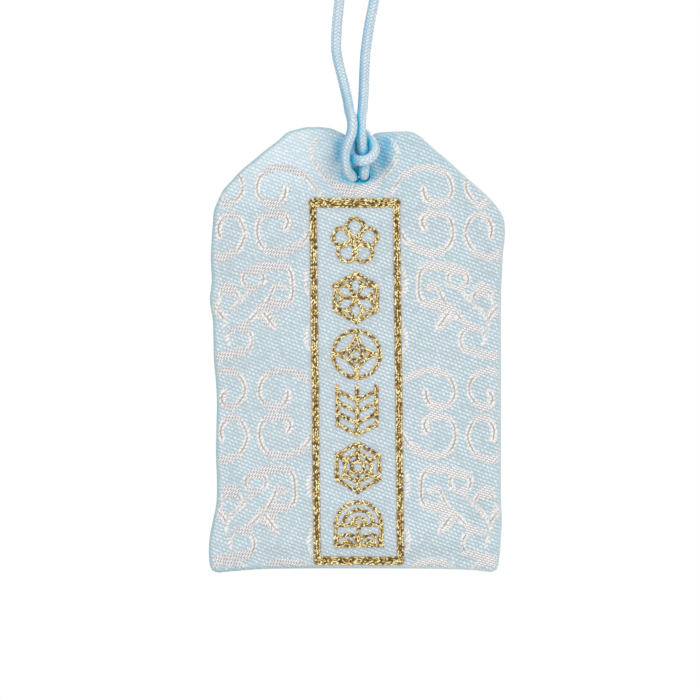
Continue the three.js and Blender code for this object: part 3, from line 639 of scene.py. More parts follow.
RUNS = {
    name: curve_at(np.array(points) * MM, np.linspace(0, 1, 12 * len(points)))
    for name, points in (("top", TOP_RUN), ("right", RIGHT_RUN), ("foot", FOOT_RUN), ("left", LEFT_RUN))
}


def pinch(x, z):
    """How far the cord draws the two panels together, from 0 to 1."""
    return bell(x - HOLE_X, PINCH_WIDTH) * (1 - smooth((HOLE_Z + HOLE_HEIGHT / 2 - z) / PINCH_FADE - 0.5))


def edge_distances(spots):
    """Distance to the top, to the sides and to the foot."""
    edges = (["top"], ["left", "right"], ["foot"])
    return [line_distance(spots, [RUNS[name] for name in names]) for names in edges]


def folds(x, z, side):
    """Height of the soft folds and of a faint ripple, added to the panel's depth."""
    spots = np.stack([x, z], axis=1)
    height = np.zeros(len(spots))
    for start, end, width, rise in FRONT_FOLDS if side < 0 else BACK_FOLDS:
        height += rise * MM * crease(spots, start, end, width)
    slow = np.sin(x / MM * 0.42 + side) * np.sin(z / MM * 0.31 + 1.3)
    quick = 0.6 * np.sin(x / MM * 0.93 - z / MM * 0.57 + side)
    return height + RIPPLE_HEIGHT * (slow + quick)


def panel_depth(x, z, side=-1):
    """Depth of the front or back panel over a point of the front view."""
    top, sides, foot = edge_distances(np.stack([x, z], axis=1))
    shares = [
        np.maximum(distance - EDGE_RADIUS, 1e-6) / (slope - EDGE_RADIUS)
        for distance, slope in ((top, TOP_SLOPE), (sides, SIDE_SLOPE), (foot, FOOT_SLOPE))
    ]
    share = sum(part**-6.0 for part in shares) ** (-1 / 6)
    half = EDGE_RADIUS + (HALF_DEPTH - EDGE_RADIUS) * smooth(share)
    half = half - (half - EDGE_RADIUS) * pinch(x, z)
    wave = np.sin(z / MM * 2 * np.pi / PUCKER_PITCH + 0.8 * np.sin(z / MM * 0.7))
    puckers = PUCKER_HEIGHT * wave * bell(sides / MM - PUCKER_INSET, PUCKER_SPREAD)
    low = np.clip(np.minimum(np.minimum(top, sides), foot) / EDGE_RADIUS - 1, 0, 1)
    return half + (folds(x, z, side) + puckers) * smooth(low)


def figure_lines():
    """Middle lines of the woven figure with half widths, mirrored and repeated down the cloth, in metres."""
    lines = []
    for stroke, widths in FIGURE_STROKES:
        line = smooth_line(np.array(stroke, float), 3 * len(stroke))
        half = np.interp(np.linspace(0, 1, len(line)), np.linspace(0, 1, len(widths)), widths) / 2
        flatness = np.abs(np.gradient(line[:, 0])) / np.maximum(np.hypot(*np.gradient(line, axis=0).T), 1e-9)
        half *= STROKE_GAIN + FLAT_GAIN * flatness
        for drop in FIGURE_REPEATS:
            for side in (-1, 1):
                drawn = [side * line[:, 0], FIGURE_TOP_Z - drop - line[:, 1], half]
                lines.append(np.stack(drawn, axis=1) * MM)
    return lines


# Gold motifs as middle lines in a square from -1 to 1
def bar(x1, z1, x2, z2):
    return np.array([(x1, z1), (x2, z2)])


def arc(x, z, radius, start=0.0, end=2 * math.pi):
    count = max(6, int(abs(end - start) * radius * 7))
    angles = np.linspace(start, end, count)
    return np.stack([x + radius * np.cos(angles), z + radius * np.sin(angles)], axis=1)


def at(radius, angle):
    return radius * math.sin(angle), radius * math.cos(angle)


def turns(count):
    return [2 * math.pi * step / count for step in range(count)]


def loop_of(points):
    return [bar(*point, *points[(number + 1) % len(points)]) for number, point in enumerate(points)]


def plum_blossom():
    petals = [arc(*at(0.56, angle), 0.38) for angle in turns(5)]
    return [arc(0, 0, 0.15), *petals]


def hemp_leaf():
    rim = [at(1, angle) for angle in turns(6)]
    middles = [at(0.577, angle + math.pi / 6) for angle in turns(6)]
    spokes = [bar(*rim[(k + side) % 6], *middles[k]) for k in range(6) for side in (0, 1)]
    return [*loop_of(rim), *spokes, *(bar(*middles[k], *middles[k + 3]) for k in range(3))]


def linked_circles():
    arcs = []
    for angle in turns(4):
        x, z = at(0.96 * math.sqrt(2), angle + math.pi / 4)
        towards = math.atan2(-z, -x)
        arcs.append(arc(x, z, 0.96, towards - math.pi / 4, towards + math.pi / 4))
    return [arc(0, 0, 0.96), *arcs, *loop_of([at(0.3, angle) for angle in turns(4)])]


def arrow_feather():
    barbs = [bar(0, z, 0.8 * side, z + 0.42) for side in (-1, 1) for z in (-0.98, -0.52, -0.06, 0.4)]
    return [bar(0, -0.98, 0, 0.98), *(bar(0.8 * side, -0.6, 0.8 * side, 0.98) for side in (-1, 1)), *barbs]


def tortoise_shell():
    spokes = [bar(*at(0.26, angle), *at(1, angle)) for angle in turns(6)]
    rims = [line for radius in (1, 0.62) for line in loop_of([at(radius, angle) for angle in turns(6)])]
    return [*rims, *spokes, arc(0, 0, 0.26)]


def waves():
    fans = [arc(x, -0.9, radius, 0, math.pi) for x in (-0.48, 0.48) for radius in (0.46, 0.2)]
    rails = [bar(-0.96, -0.9, 0.96, -0.9), bar(-0.94, -0.05, 0.94, -0.05)]
    posts = [bar(x, -0.05, x, -0.9) for x in (-0.94, 0, 0.94)]
    return [*rails, *posts, *(arc(0, -0.05, radius, 0, math.pi) for radius in (0.94, 0.62, 0.3)), *fans]


MOTIFS = (plum_blossom, hemp_leaf, linked_circles, arrow_feather, tortoise_shell, waves)


def border_strokes():
    """The border's four bars as middle lines with their widths, in the cloth's coordinates."""
    x = BORDER_WIDTH / 2 - BORDER_SIDE_BAR / 2
    top, foot = BORDER_TOP_Z - BORDER_TOP_BAR / 2, BORDER_FOOT_Z + BORDER_FOOT_BAR / 2
    return [
        (bar(-x, top, x, top), BORDER_TOP_BAR), (bar(-x, foot, x, foot), BORDER_FOOT_BAR),
        *((bar(side * x, top, side * x, foot), BORDER_SIDE_BAR) for side in (-1, 1)),
    ]


def motif_strokes(row):
    centre = np.array([0, FIRST_MOTIF_Z - row * MOTIF_PITCH])
    return [(line * MOTIF_HALF + centre, MOTIF_STROKE) for line in MOTIFS[row]()]


def gold_cover(x, z):
    """1 where gold weft covers the cloth, and 1 in the halo round it, each fading to 0 outside it."""
    spots = np.stack([x, z], axis=1)
    cover, halo = np.zeros((2, len(spots)))
    near = (np.abs(x) < BORDER_WIDTH) & (z < BORDER_TOP_Z + BORDER_TOP_BAR)
    strokes = [*border_strokes(), *(stroke for row in range(len(MOTIFS)) for stroke in motif_strokes(row))]
    for width in sorted({stroke[1] for stroke in strokes}):
        distance = line_distance(spots[near], [line for line, own in strokes if own == width], 2 * MM)
        for share, reach, fade in ((cover, 0.1 * MM, 0.3 * MM), (halo, 0.9 * MM, 0.7 * MM)):
            share[near] = np.maximum(share[near], smooth((width / 2 + reach - distance) / fade))
    return cover, halo


# Materials
def cord_material(settings):
    recipe = Recipe(bpy.data.materials.new("braided_satin_cord"))
    along, column, _ = recipe.split(recipe.attribute("braid"))
    crowd = recipe.attribute("crowd", output=2)
    place = recipe.place()
    fibres = recipe.noise(place, 6000, 2.0)
    patches = recipe.noise(place, 300, 2.0)

    # Plaits slant one way in every other column and the other way between
    odd = (column.floor() * 0.5).fraction() * 2.0
    in_column = column.fraction() * 2.0 - 1.0
    plait = along / (settings.plait_pitch / MM) + (odd * 2.0 - 1.0) * in_column * 0.34 + odd * 0.5
    bead = ((plait * (2 * math.pi)).cosine() * 0.5 + 0.5).step(0.02, 0.75)
    ridge = (in_column * (math.pi / 2)).cosine().step(0.0, 0.85)
    lift = (ridge * 0.6 + 0.4) * (bead * 0.8 + 0.2)
    body = recipe.mix((lift + fibres * 0.9 - 0.45).step(-0.2, 0.85), settings.shade, settings.pale)
    body = recipe.mix(patches.step(0.35, 0.7) * 0.25, body, settings.shade)
    # Painted shade on each run's side towards its left neighbour, then painted blue shade in the crevices
    # between passes
    body = recipe.mix(recipe.attribute("shy", output=2), body, settings.side)
    body = recipe.mix(crowd, body, settings.deep)
    return recipe.surface(
        base_color=body, roughness=0.42, sheen_weight=0.15, specular_ior_level=0.45,
        normal=recipe.bump(lift + fibres * 0.25, settings.relief, 0.8),
    )


def cloth_material(settings, gold):
    recipe = Recipe(bpy.data.materials.new("figured_brocade"))
    across, along, edge = recipe.split(recipe.attribute("cloth"))
    outside, lateral, run = recipe.split(recipe.attribute("figure"))
    cover, hollow, deep = recipe.split(recipe.attribute("shade"))
    halo, upright, _ = recipe.split(recipe.attribute("weave"))
    place = recipe.join(across, along, 0.0)
    patches = recipe.noise(place, 0.16, 3.0)
    grain = recipe.noise(place, 3.4, 2.0, 0.6)
    wobble = recipe.noise(place, 0.8, 2.0) - 0.5

    # Twill ground: rows of light floats, each with a brightness of its own
    line = (along + across * math.tan(math.radians(21)) + wobble * 0.2) / (settings.twill_pitch / MM)
    row = line.floor()
    between = line.wave()
    dash = across / (settings.float_length / MM) + row * 0.32 + wobble * 0.25
    beat = dash.wave()
    luck = recipe.luck(row, dash.floor())
    firm = across.step(-13.0, 12.0) * 0.25 + 0.75
    floats = (between * 0.32 + between * beat * (luck * 1.1 + 0.1) - 0.3) * firm
    twill = floats + grain.step(0.25, 0.8) * 0.5 + 0.2
    # Painted satin sheen in broad patches, and painted light that makes the top paler and bluer, most at its
    # left
    top_light = along.step(-78.0, -64.0)
    top_left_light = top_light * across.step(0.0, -9.0)
    light = recipe.mix(patches.step(0.3, 0.7) * 0.6 + top_light * 0.4, settings.light, srgb(222, 240, 248))
    light = recipe.mix(top_left_light, light, srgb(250, 254, 255))
    dark = recipe.mix(patches.step(0.62, 0.35) * 0.6 + top_light * 0.4, settings.dark, srgb(172, 202, 216))
    dark = recipe.mix(top_left_light, dark, srgb(198, 222, 234))
    ground = recipe.mix(twill.step(0.0, 1.0), dark, light)

    # Woven figure: slanted stitches, drawn out to two plain lines on upright strokes
    right = across.step(-0.1, 0.1)
    slope = 0.78 - right * 1.1
    stack = (along - across * slope) / (settings.stitch_pitch / MM)
    level = across / (settings.stitch_length / MM) + stack.floor() * (0.7 - right * 0.23) + wobble * 0.7
    turn = recipe.luck(stack.floor(), level.floor())
    stitches = stack.wave().step(0.0, 0.45) * (level.wave().step(0.0, 0.4) + right * 0.3) * (turn * 0.5 + 0.6)
    links = run / (settings.stitch_length / MM) + lateral * 0.8 + wobble
    middle = abs(lateral).step(0.24, 0.04) * (abs(lateral) - outside).step(0.28, 0.42)
    lines = (1 - middle) * (links.wave().step(0.0, 0.35) * 0.7 + turn * 0.45)
    plain = upright.step(0.5, 0.85) * abs(lateral).step(0.62, 0.5)
    threads = stitches * (1 - plain) + lines * plain
    inside = (outside + (0.5 - turn) * 0.32 + (grain - 0.5) * 0.9).step(0.1, -0.06)
    gaps = recipe.mix(plain, settings.outline, srgb(172, 163, 158))
    figure = recipe.mix(threads * 1.1 + (grain - 0.5) * 0.7 + 0.08, gaps, settings.figure)
    body = recipe.mix(inside, ground, figure)

    # Painted shade on the left rolled edge and painted light on the right one
    rim = recipe.mix(across.step(-20.0, 20.0), settings.left_edge_shade, settings.right_edge_light)
    body = recipe.mix((edge + wobble * 0.2).step(0.8, 0.15) * 0.75, body, rim)
    body = recipe.mix(halo * 0.3, body, gold.halo)
    # Painted blue shade in the hollows round the cord, then deeper painted shade beside it and inside its
    # hole
    body = recipe.mix(hollow, body, settings.hollow, "MULTIPLY")
    body = recipe.mix(deep, body, settings.inside)
    # Under the gold the cloth is painted in the gold's dark and half-shade colours: painted shade between the
    # floats
    body = recipe.mix(cover, body, recipe.mix(grain.step(0.35, 0.62), gold.dark, gold.deep))

    height = twill * 0.6 + grain * 0.3 + inside * (threads * 0.6 + 0.4)
    return recipe.surface(
        base_color=body, roughness=0.5 + grain * 0.2, sheen_weight=0.12, specular_ior_level=0.35,
        normal=recipe.bump(height, 0.07 * MM, 0.7),
    )


def gold_material(settings):
    recipe = Recipe(bpy.data.materials.new("gold_weft"))
    glint = recipe.attribute("glint", output=2)
    fine = recipe.noise(recipe.place(), 7000, 2.0)
    # Painted glints and shade: each float's colour follows its random glint
    stops = [(0.05, settings.dark), (0.27, settings.deep), (0.47, settings.middle), (0.75, settings.bright)]
    body = recipe.node("ShaderNodeValToRGB", {"stops": stops}, {0: glint * 0.85 + fine * 0.3 - 0.07})
    return recipe.surface(
        base_color=body, metallic=0.45, roughness=0.34, specular_ior_level=0.6,
        normal=recipe.bump(fine, 0.04 * MM, 0.6),
    )


def plain_material(name, pale, dark, scale, stretch=(1, 1, 1), roughness=0.8, relief=0.05 * MM):
    """A dry, grained finish for what lies inside the pouch."""
    recipe = Recipe(bpy.data.materials.new(name))
    place = recipe.node("ShaderNodeMapping", sockets={"Vector": recipe.place(), "Scale": stretch})
    grain = recipe.noise(place, scale, 4.0, 0.6)
    body = recipe.mix(grain.step(0.3, 0.7), dark, pale)
    return recipe.surface(base_color=body, roughness=roughness, normal=recipe.bump(grain, relief, 0.5))


# Cord
def nearness(spots, others, fade, own=None, places=None, apart=0.0, batch=4000):
    """1 where a spot touches the cord that the others are the middle of, falling to 0 as the gap grows."""
    found = np.zeros(len(spots))
    for first in range(0, len(spots), batch):
        here = spots[first : first + batch]
        squares = (here**2).sum(1)[:, None] + (others**2).sum(1)[None] - 2 * here @ others.T
        if own is not None:
            squares[np.abs(own[first : first + batch, None] - places[None]) < apart] = 1
        gap = np.sqrt(np.maximum(squares.min(1), 0)) - CORD_DIAMETER / 2
        found[first : first + batch] = bell(np.maximum(gap, 0), fade)
    return found


def knot_run(side):
    """One of the two cords in the knot, from the loop to its tip, in metres."""
    route = np.array(KNOT_ROUTE, float) * CORD_DIAMETER
    shares = np.linspace(0, 1, len(route))
    ahead = curve_at(route, np.minimum(shares + 1e-4, 1)) - curve_at(route, np.maximum(shares - 1e-4, 0))
    across = unit(np.cross(ahead, (0, 1, 0)))
    tip = np.array([(x * side, y, z) for x, y, z in TIP_ROUTE]) * CORD_DIAMETER
    return np.vstack((route - side * KNOT_SPREAD * CORD_DIAMETER * across, tip))


def cord_centreline(step):
    top = np.array([0, 0, -LOOP_DROP])
    routes = (LEFT_ROUTE, HITCH_ROUTE, RIGHT_ROUTE)
    left, hitch, right = (np.array(route) * CORD_DIAMETER + top for route in routes)
    points = np.vstack((knot_run(-1)[::-1], left[::-1], hitch, right, knot_run(1)))
    fine = curve_at(points, np.linspace(0, 1, 40 * len(points)))
    return resample(fine, int(arc_lengths(fine)[-1] / step))


def carried_frames(line):
    """A side and an up direction at each point of a line, turned as little as possible on the way."""
    ahead = unit(np.gradient(line, axis=0))
    side = np.cross(ahead[0], (0, 1, 0))
    sides = np.zeros_like(line)
    for number, direction in enumerate(ahead):
        side = side - direction * side.dot(direction)
        side /= np.linalg.norm(side)
        sides[number] = side
    return sides, np.cross(ahead, sides)


class OMAMORI_OT_cord(Operator):
    """Makes the braided cord, from one tip through the hitch to the other tip"""

    bl_idname = "omamori.cord"
    bl_label = "Cord"

    def execute(self, context):
        settings = context.scene.omamori_cord
        around = settings.sides
        line = cord_centreline(settings.step)
        along = arc_lengths(line)
        sides, ups = carried_frames(line)
        half = CORD_DIAMETER / 2
        ends = np.clip(np.minimum(along, along[-1] - along) / half, 0.05, 1)
        radius = half * np.sqrt(1 - (1 - ends) ** 2)
        angles = 2 * np.pi * np.arange(around) / around + along[:, None] / CORD_TWIST / MM
        rings = line[:, None] + radius[:, None, None] * (
            np.cos(angles)[..., None] * sides[:, None] + np.sin(angles)[..., None] * ups[:, None]
        )
        vertices = rings.reshape(-1, 3)
        numbers = np.arange(len(vertices)).reshape(len(line), around)
        faces = np.vstack([ring_faces(*numbers[k : k + 2]) for k in range(len(line) - 1)]).tolist()
        faces += [numbers[0][::-1].tolist(), numbers[-1].tolist()]
        piece = new_piece("cord", vertices, faces, cord_material(settings))

        # Braid coordinates for each corner of each face, so that they run on over the tube's seam
        first = np.arange(around)
        columns = np.stack([first, first + 1, first + 1, first], axis=1) * settings.columns / around
        runs = np.stack([along[:-1], along[:-1], along[1:], along[1:]], axis=1) / MM
        braid = np.stack(np.broadcast_arrays(runs[:, None], columns[None], 0.0), axis=-1).reshape(-1, 3)
        store(piece, "braid", np.vstack((braid, np.zeros((2 * around, 3)))), "CORNER")

        # Painted blue shade where another pass of the cord lies close, and painted shade on the side turned
        # to the neighbour on the left
        own = np.repeat(along, around)
        gap = 3 * half
        crowd = nearness(vertices, line[::2], CROWD_FADE, own, along[::2], gap)
        wide = nearness(vertices, line[::2], NEIGHBOUR_FADE, own, along[::2], 10 * gap)
        left = np.clip(-(rings - line[:, None])[..., 0].ravel() / half, 0, 1)
        store(piece, "crowd", crowd)
        store(piece, "shy", 0.85 * wide * smooth(left * 1.2))
        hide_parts(*CORD_NODES)
        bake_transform(piece)
        return {"FINISHED"}


# Pouch
def outline_rings(columns, rows):
    """The outline as a closed ring of points, with its inward directions smoothed round the corners."""
    counts = {"top": columns, "right": rows, "foot": columns, "left": rows}
    ring = np.vstack([resample(RUNS[name], count + 1)[:-1] for name, count in counts.items()])
    ahead = np.roll(ring, -1, axis=0) - np.roll(ring, 1, axis=0)
    inward = unit(np.stack([ahead[:, 1], -ahead[:, 0]], axis=1))
    along = arc_lengths(np.vstack((ring, ring[:1])))
    gap = np.abs(along[:-1, None] - along[None, :-1])
    gap = np.minimum(gap, along[-1] - gap)
    weights = bell(gap, CORNER_FADE) * np.gradient(along[:-1])[None]
    return ring, unit(weights @ inward)


def hole_warp(columns, rows, centre, half):
    """Grid places with the block round the hole bent to an ellipse."""
    u, v = np.meshgrid(np.arange(columns + 1.0), np.arange(rows + 1.0))
    du, dv = (u - centre[0]) / half[0], (v - centre[1]) / half[1]
    square = np.maximum(np.abs(du), np.abs(dv))
    circle = np.maximum(np.hypot(du, dv), 1e-9)
    scale = 1 + (square / circle - 1) * (1 - smooth((square - 1) / 2))
    return (centre[0] + du * scale * half[0]) / columns, (centre[1] + dv * scale * half[1]) / rows


def patch(ring, columns, rows, u, v):
    """Points inside the ring at shares across and down it."""
    top, right = ring[: columns + 1], ring[columns : columns + rows + 1]
    foot = ring[columns + rows : 2 * columns + rows + 1][::-1]
    left = np.vstack((ring[2 * columns + rows :], ring[:1]))[::-1]

    def at_share(line, share):
        places = np.linspace(0, 1, len(line))
        return np.stack([np.interp(share, places, line[:, axis]) for axis in range(2)], axis=-1)

    u3, v3 = u[..., None], v[..., None]
    sides = (1 - u3) * at_share(left, v) + u3 * at_share(right, v)
    ends = (1 - v3) * at_share(top, u) + v3 * at_share(foot, u)
    corners = (1 - v3) * ((1 - u3) * top[0] + u3 * top[-1]) + v3 * ((1 - u3) * foot[0] + u3 * foot[-1])
    return sides + ends - corners


def panel_grid(inner, columns, rows):
    """A panel's points on a grid bent round the hole, with their numbers and the grid lines by the hole."""
    u, v = np.meshgrid(np.arange(columns + 1) / columns, np.arange(rows + 1) / rows)
    plain = patch(inner, columns, rows, u, v)
    nearest = np.linalg.norm(plain - (HOLE_X, HOLE_Z), axis=2).argmin()
    centre = np.array(np.unravel_index(nearest, u.shape))[::-1]
    cell = np.abs(plain[centre[1] + 1, centre[0] + 1] - plain[centre[1] - 1, centre[0] - 1]) / 2
    half = np.round(np.array([HOLE_WIDTH, HOLE_HEIGHT]) / 2 / cell).astype(int)
    panel = patch(inner, columns, rows, *hole_warp(columns, rows, centre, half)).reshape(-1, 2)
    return panel, np.arange(len(panel)).reshape(rows + 1, columns + 1), centre - half, centre + half


def rim_of(block):
    """The numbers round the edge of a block of the grid."""
    return np.concatenate((block[0, :-1], block[:-1, -1], block[-1, :0:-1], block[:0:-1, 0]))


class Shell:
    """The cloth's points, each with its depth and its side of the pouch, and the faces between them."""

    def __init__(self):
        self.spots, self.depths, self.sides, self.faces = [], [], [], []

    def add(self, spots, depth, side):
        """Adds points and returns their numbers."""
        count = sum(len(part) for part in self.spots)
        self.spots.append(spots)
        self.depths.append(np.broadcast_to(depth, len(spots)))
        self.sides.append(np.full(len(spots), side))
        return np.arange(len(spots)) + count

    def bridge(self, first, second):
        self.faces.append(ring_faces(first, second))

    def roll_edge(self, ring, inward, groove, front, back):
        """Rolls the cloth from the front panel to the back one, with the sewn groove between the lips."""
        angles = (math.pi / 3, math.pi / 6)
        lip = [(EDGE_RADIUS * (1 - math.cos(angle)), -EDGE_RADIUS * math.sin(angle)) for angle in angles]
        lip.append((0.0, -SEAM_GROOVE / 2))
        last = front
        for inset, y in (*lip, (groove[:, None], 0.0), *((inset, -y) for inset, y in reversed(lip))):
            here = self.add(ring + inward * inset, y, math.copysign(1, y))
            self.bridge(last, here)
            last = here
        self.bridge(last, back)

    def line_hole(self, panel, hole):
        """Lines the cord's hole, drawn in to the outline of the two cords that fill it."""
        rim = panel[hole]
        ends = np.array(CORDS_IN_HOLE) * CORD_DIAMETER - (0, LOOP_DROP)
        run = ends[1] - ends[0]
        middle = ends[0] + np.clip((rim - ends[0]) @ run / (run @ run), 0, 1)[:, None] * run
        apart = np.minimum(*(np.linalg.norm(middle - end, axis=1) for end in ends))
        most, least = (HOLE_FIT * CORD_DIAMETER) ** 2, (HOLE_WAIST * CORD_DIAMETER) ** 2
        tight = middle + unit(rim - middle) * np.sqrt(np.maximum(most - apart**2, least))[:, None]
        front, back = (depths[hole] for depths in self.depths[:2])
        first = hole
        for step in range(1, TUNNEL_ROWS + 1):
            share = step / (TUNNEL_ROWS + 1)
            closed = 1 - abs(share - 0.5) * 1.2
            here = self.add(rim * (1 - closed) + tight * closed, front * (1 - share) + back * share, 1)
            self.bridge(here, first)
            first = here
        self.bridge(hole + len(panel), first)


def cord_shadow(vertices):
    """How much painted blue shade the cloth has in the hollows round the cord, and how much darker painted
    shade right beside it.
    """
    x, z = vertices[:, 0], vertices[:, 2]
    near = (np.abs(x) < HITCH_REACH) & (z > HOLE_Z - HITCH_DROP)
    spots = vertices[near]
    line = cord_centreline(0.4 * MM)
    below_edge = smooth((-LOOP_DROP - 0.2 * MM - z[near]) / HOLLOW_FADE)
    drop = smooth((z[near] - HOLE_Z + HOLLOW_FADE) / HOLLOW_FADE) * below_edge
    hollow, deep = np.zeros((2, len(vertices)))
    hollow[near] = nearness(spots, line, BLUE_FADE) * drop
    for start, end, width, strength in HOLLOW_SHADES:
        hollow[near] = np.maximum(hollow[near], strength * crease(spots[:, [0, 2]], start, end, width))
    hollow[near] *= spots[:, 1] < 0
    deep[near] = smooth((nearness(spots, line, DEEP_FADE) - 0.5) / 0.4) * drop * 0.85
    return hollow * 0.9, deep


class OMAMORI_OT_cloth(Operator):
    """Makes the brocade pouch: front and back panel, rolled edges, sewn groove and the cord's hole"""

    bl_idname = "omamori.cloth"
    bl_label = "Brocade pouch"

    def execute(self, context):
        settings, gold = context.scene.omamori_cloth, context.scene.omamori_gold
        columns, rows = settings.columns, settings.rows
        ring, inward = outline_rings(columns, rows)
        panel, numbers, low, high = panel_grid(ring + inward * EDGE_RADIUS, columns, rows)
        quads = np.stack([numbers[:-1, :-1], numbers[:-1, 1:], numbers[1:, 1:], numbers[1:, :-1]], axis=2)
        keep = np.ones(quads.shape[:2], bool)
        keep[low[1] : high[1], low[0] : high[0]] = False
        hole = rim_of(numbers[low[1] : high[1] + 1, low[0] : high[0] + 1])
        in_hole = numbers[low[1] + 1 : high[1], low[0] + 1 : high[0]]

        shell = Shell()
        for side in (-1, 1):
            here = shell.add(panel, side * panel_depth(panel[:, 0], panel[:, 1], side), side)
            shell.faces.append(quads[keep][:, ::side] + here[0])
        groove = np.full(len(ring), SEAM_GROOVE)
        groove[columns + rows : 2 * columns + rows] = 0
        shell.roll_edge(ring, inward, groove, rim_of(numbers), rim_of(numbers) + len(panel))
        shell.line_hole(panel, hole)

        # The cloth's own coordinates: across and along it, the back panel's running on from the foot
        spots = np.vstack(shell.spots)
        depths, sides = np.concatenate(shell.depths), np.concatenate(shell.sides)
        x, z = spots[:, 0], spots[:, 1]
        vertices = np.stack([x, depths, z], axis=1)
        across = x - lean(z)
        along = np.where(sides > 0, 2 * FOOT_Z - z, z)
        figure = nearest_on_lines(np.stack([across, z], axis=1), figure_lines(), FIGURE_REACH)
        in_border = (np.abs(across) < BORDER_WIDTH / 2) & (z < BORDER_TOP_Z) & (sides < 0)
        figure[in_border, 0] = NO_FIGURE
        edge = np.min(edge_distances(spots), axis=0)
        cover, halo = (share * (sides < 0) for share in gold_cover(across, z))
        rise = settings.figure_rise * smooth((FIGURE_RIM - figure[:, 0]) / FIGURE_RIM_FADE)
        vertices[:, 1] += np.sign(depths) * np.where(edge > EDGE_RADIUS, rise, 0)
        hollow, deep = cord_shadow(vertices)
        # The hole's rim and its lining get deep painted shade
        deep[hole] = deep[hole + len(panel)] = 0.8
        deep[-TUNNEL_ROWS * len(hole) :] = 1

        kept = np.ones(len(vertices), bool)
        kept[in_hole] = kept[in_hole + len(panel)] = False
        faces = (np.cumsum(kept) - 1)[np.vstack(shell.faces)]
        piece = new_piece("pouch_cloth", vertices[kept], faces, cloth_material(settings, gold))
        for name, values in (
            ("cloth", np.stack([across, along, edge], axis=1) / MM),
            ("figure", figure[:, :3] / MM),
            ("shade", np.stack([cover, hollow, deep], axis=1)),
            ("weave", np.stack([halo, figure[:, 3], 0 * halo], axis=1)),
        ):
            store(piece, name, values[kept])
        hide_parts("brocade_pouch")
        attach(piece, "charm")
        return {"FINISHED"}


# Gold weft
FLOAT_INPUTS = {
    "Geometry": "NodeSocketGeometry", "Float Length": "NodeSocketFloat", "Float Width": "NodeSocketFloat",
    "Float Height": "NodeSocketFloat", "Seed": "NodeSocketInt",
}


def float_tree(material):
    """Geometry nodes that lay one small rounded float on each point."""
    recipe = Recipe(bpy.data.node_groups.new("floats", "GeometryNodeTree"))
    face = recipe.tree.interface
    for name, kind in FLOAT_INPUTS.items():
        face.new_socket(name, in_out="INPUT", socket_type=kind)
    face.new_socket("Geometry", in_out="OUTPUT", socket_type="NodeSocketGeometry")
    given = recipe.outputs("NodeGroupInput")

    def random(low, high, offset):
        sockets = {2: low, 3: high, "Seed": given["Seed"] + offset}
        return recipe.node("FunctionNodeRandomValue", sockets=sockets, output=1)

    def named(name, kind):
        settings, sockets = {"data_type": kind}, {"Name": name}
        return recipe.node("GeometryNodeInputNamedAttribute", settings, sockets, "Attribute")

    bead = recipe.node("GeometryNodeMeshIcoSphere", sockets={"Radius": 0.5, "Subdivisions": 2}, output="Mesh")
    size = recipe.join(
        given["Float Length"] * random(0.75, 1.3, 1), given["Float Height"] * random(0.75, 1.25, 2),
        given["Float Width"] * random(0.8, 1.2, 3),
    )
    spin = recipe.join(0.0, named("spin", "FLOAT") + random(-0.35, 0.35, 4), 0.0)
    turn = recipe.node("FunctionNodeEulerToRotation", sockets={0: spin})
    sockets = {"Rotation": turn, "Vector": named("facing", "FLOAT_VECTOR")}
    turn = recipe.node("FunctionNodeAlignRotationToVector", {"axis": "Y"}, sockets)
    bead = recipe.node("GeometryNodeSetShadeSmooth", sockets={"Geometry": bead})
    sockets = {"Points": given["Geometry"], "Instance": bead, "Scale": size, "Rotation": turn}
    floats = recipe.node("GeometryNodeInstanceOnPoints", sockets=sockets)
    sockets = {"Geometry": floats, "Name": "glint", "Value": random(0.0, 1.0, 5)}
    settings = {"data_type": "FLOAT", "domain": "INSTANCE"}
    floats = recipe.node("GeometryNodeStoreNamedAttribute", settings, sockets)
    floats = recipe.node("GeometryNodeRealizeInstances", sockets={"Geometry": floats})
    floats = recipe.node("GeometryNodeSetMaterial", sockets={"Geometry": floats, "Material": material})
    return recipe.end("NodeGroupOutput", floats)


def float_places(strokes, pitch, stray, chance):
    """Where the floats lie along the strokes, and how each is turned."""
    places, spins = [], []
    for line, width in strokes:
        lanes = max(2, round(width / pitch))
        count = max(2, int(arc_lengths(line)[-1] / pitch) + 1)
        even = resample(np.asarray(line, float), count)
        ahead = unit(np.gradient(even, axis=0))
        across = np.stack([-ahead[:, 1], ahead[:, 0]], axis=1)
        for lane in range(lanes):
            offset = ((lane + 0.5) / lanes - 0.5) * width
            shift = (lane % 2) * 0.5 * pitch
            places.append(even + across * offset + ahead * shift + chance.uniform(-stray, stray, even.shape))
            direction = -np.arctan2(ahead[:, 1], ahead[:, 0])
            spins.append(direction + chance.uniform(-SPIN_STRAY, SPIN_STRAY, len(even)))
    return np.vstack(places), np.concatenate(spins)


def lay_floats(name, tree, places, spins, facing, sizes, seed):
    """A mesh with one float at each place, made by the geometry nodes."""
    points = new_piece(name + "_points", places, np.zeros((0, 3), int), None)
    store(points, "spin", spins)
    store(points, "facing", facing)
    modifier = points.modifiers.new("floats", "NODES")
    modifier.node_group = tree
    inputs = dict(zip(list(FLOAT_INPUTS)[1:], (*sizes, seed)))
    for item in tree.interface.items_tree:
        if item.in_out == "INPUT" and item.name in inputs:
            modifier[item.identifier] = inputs[item.name]
    bpy.context.view_layer.update()
    mesh = bpy.data.meshes.new_from_object(points.evaluated_get(bpy.context.evaluated_depsgraph_get()))
    if not len(mesh.vertices):
        raise RuntimeError(f"{name} has no floats")
    piece = new_object(name, mesh)
    bpy.data.objects.remove(points)
    return piece


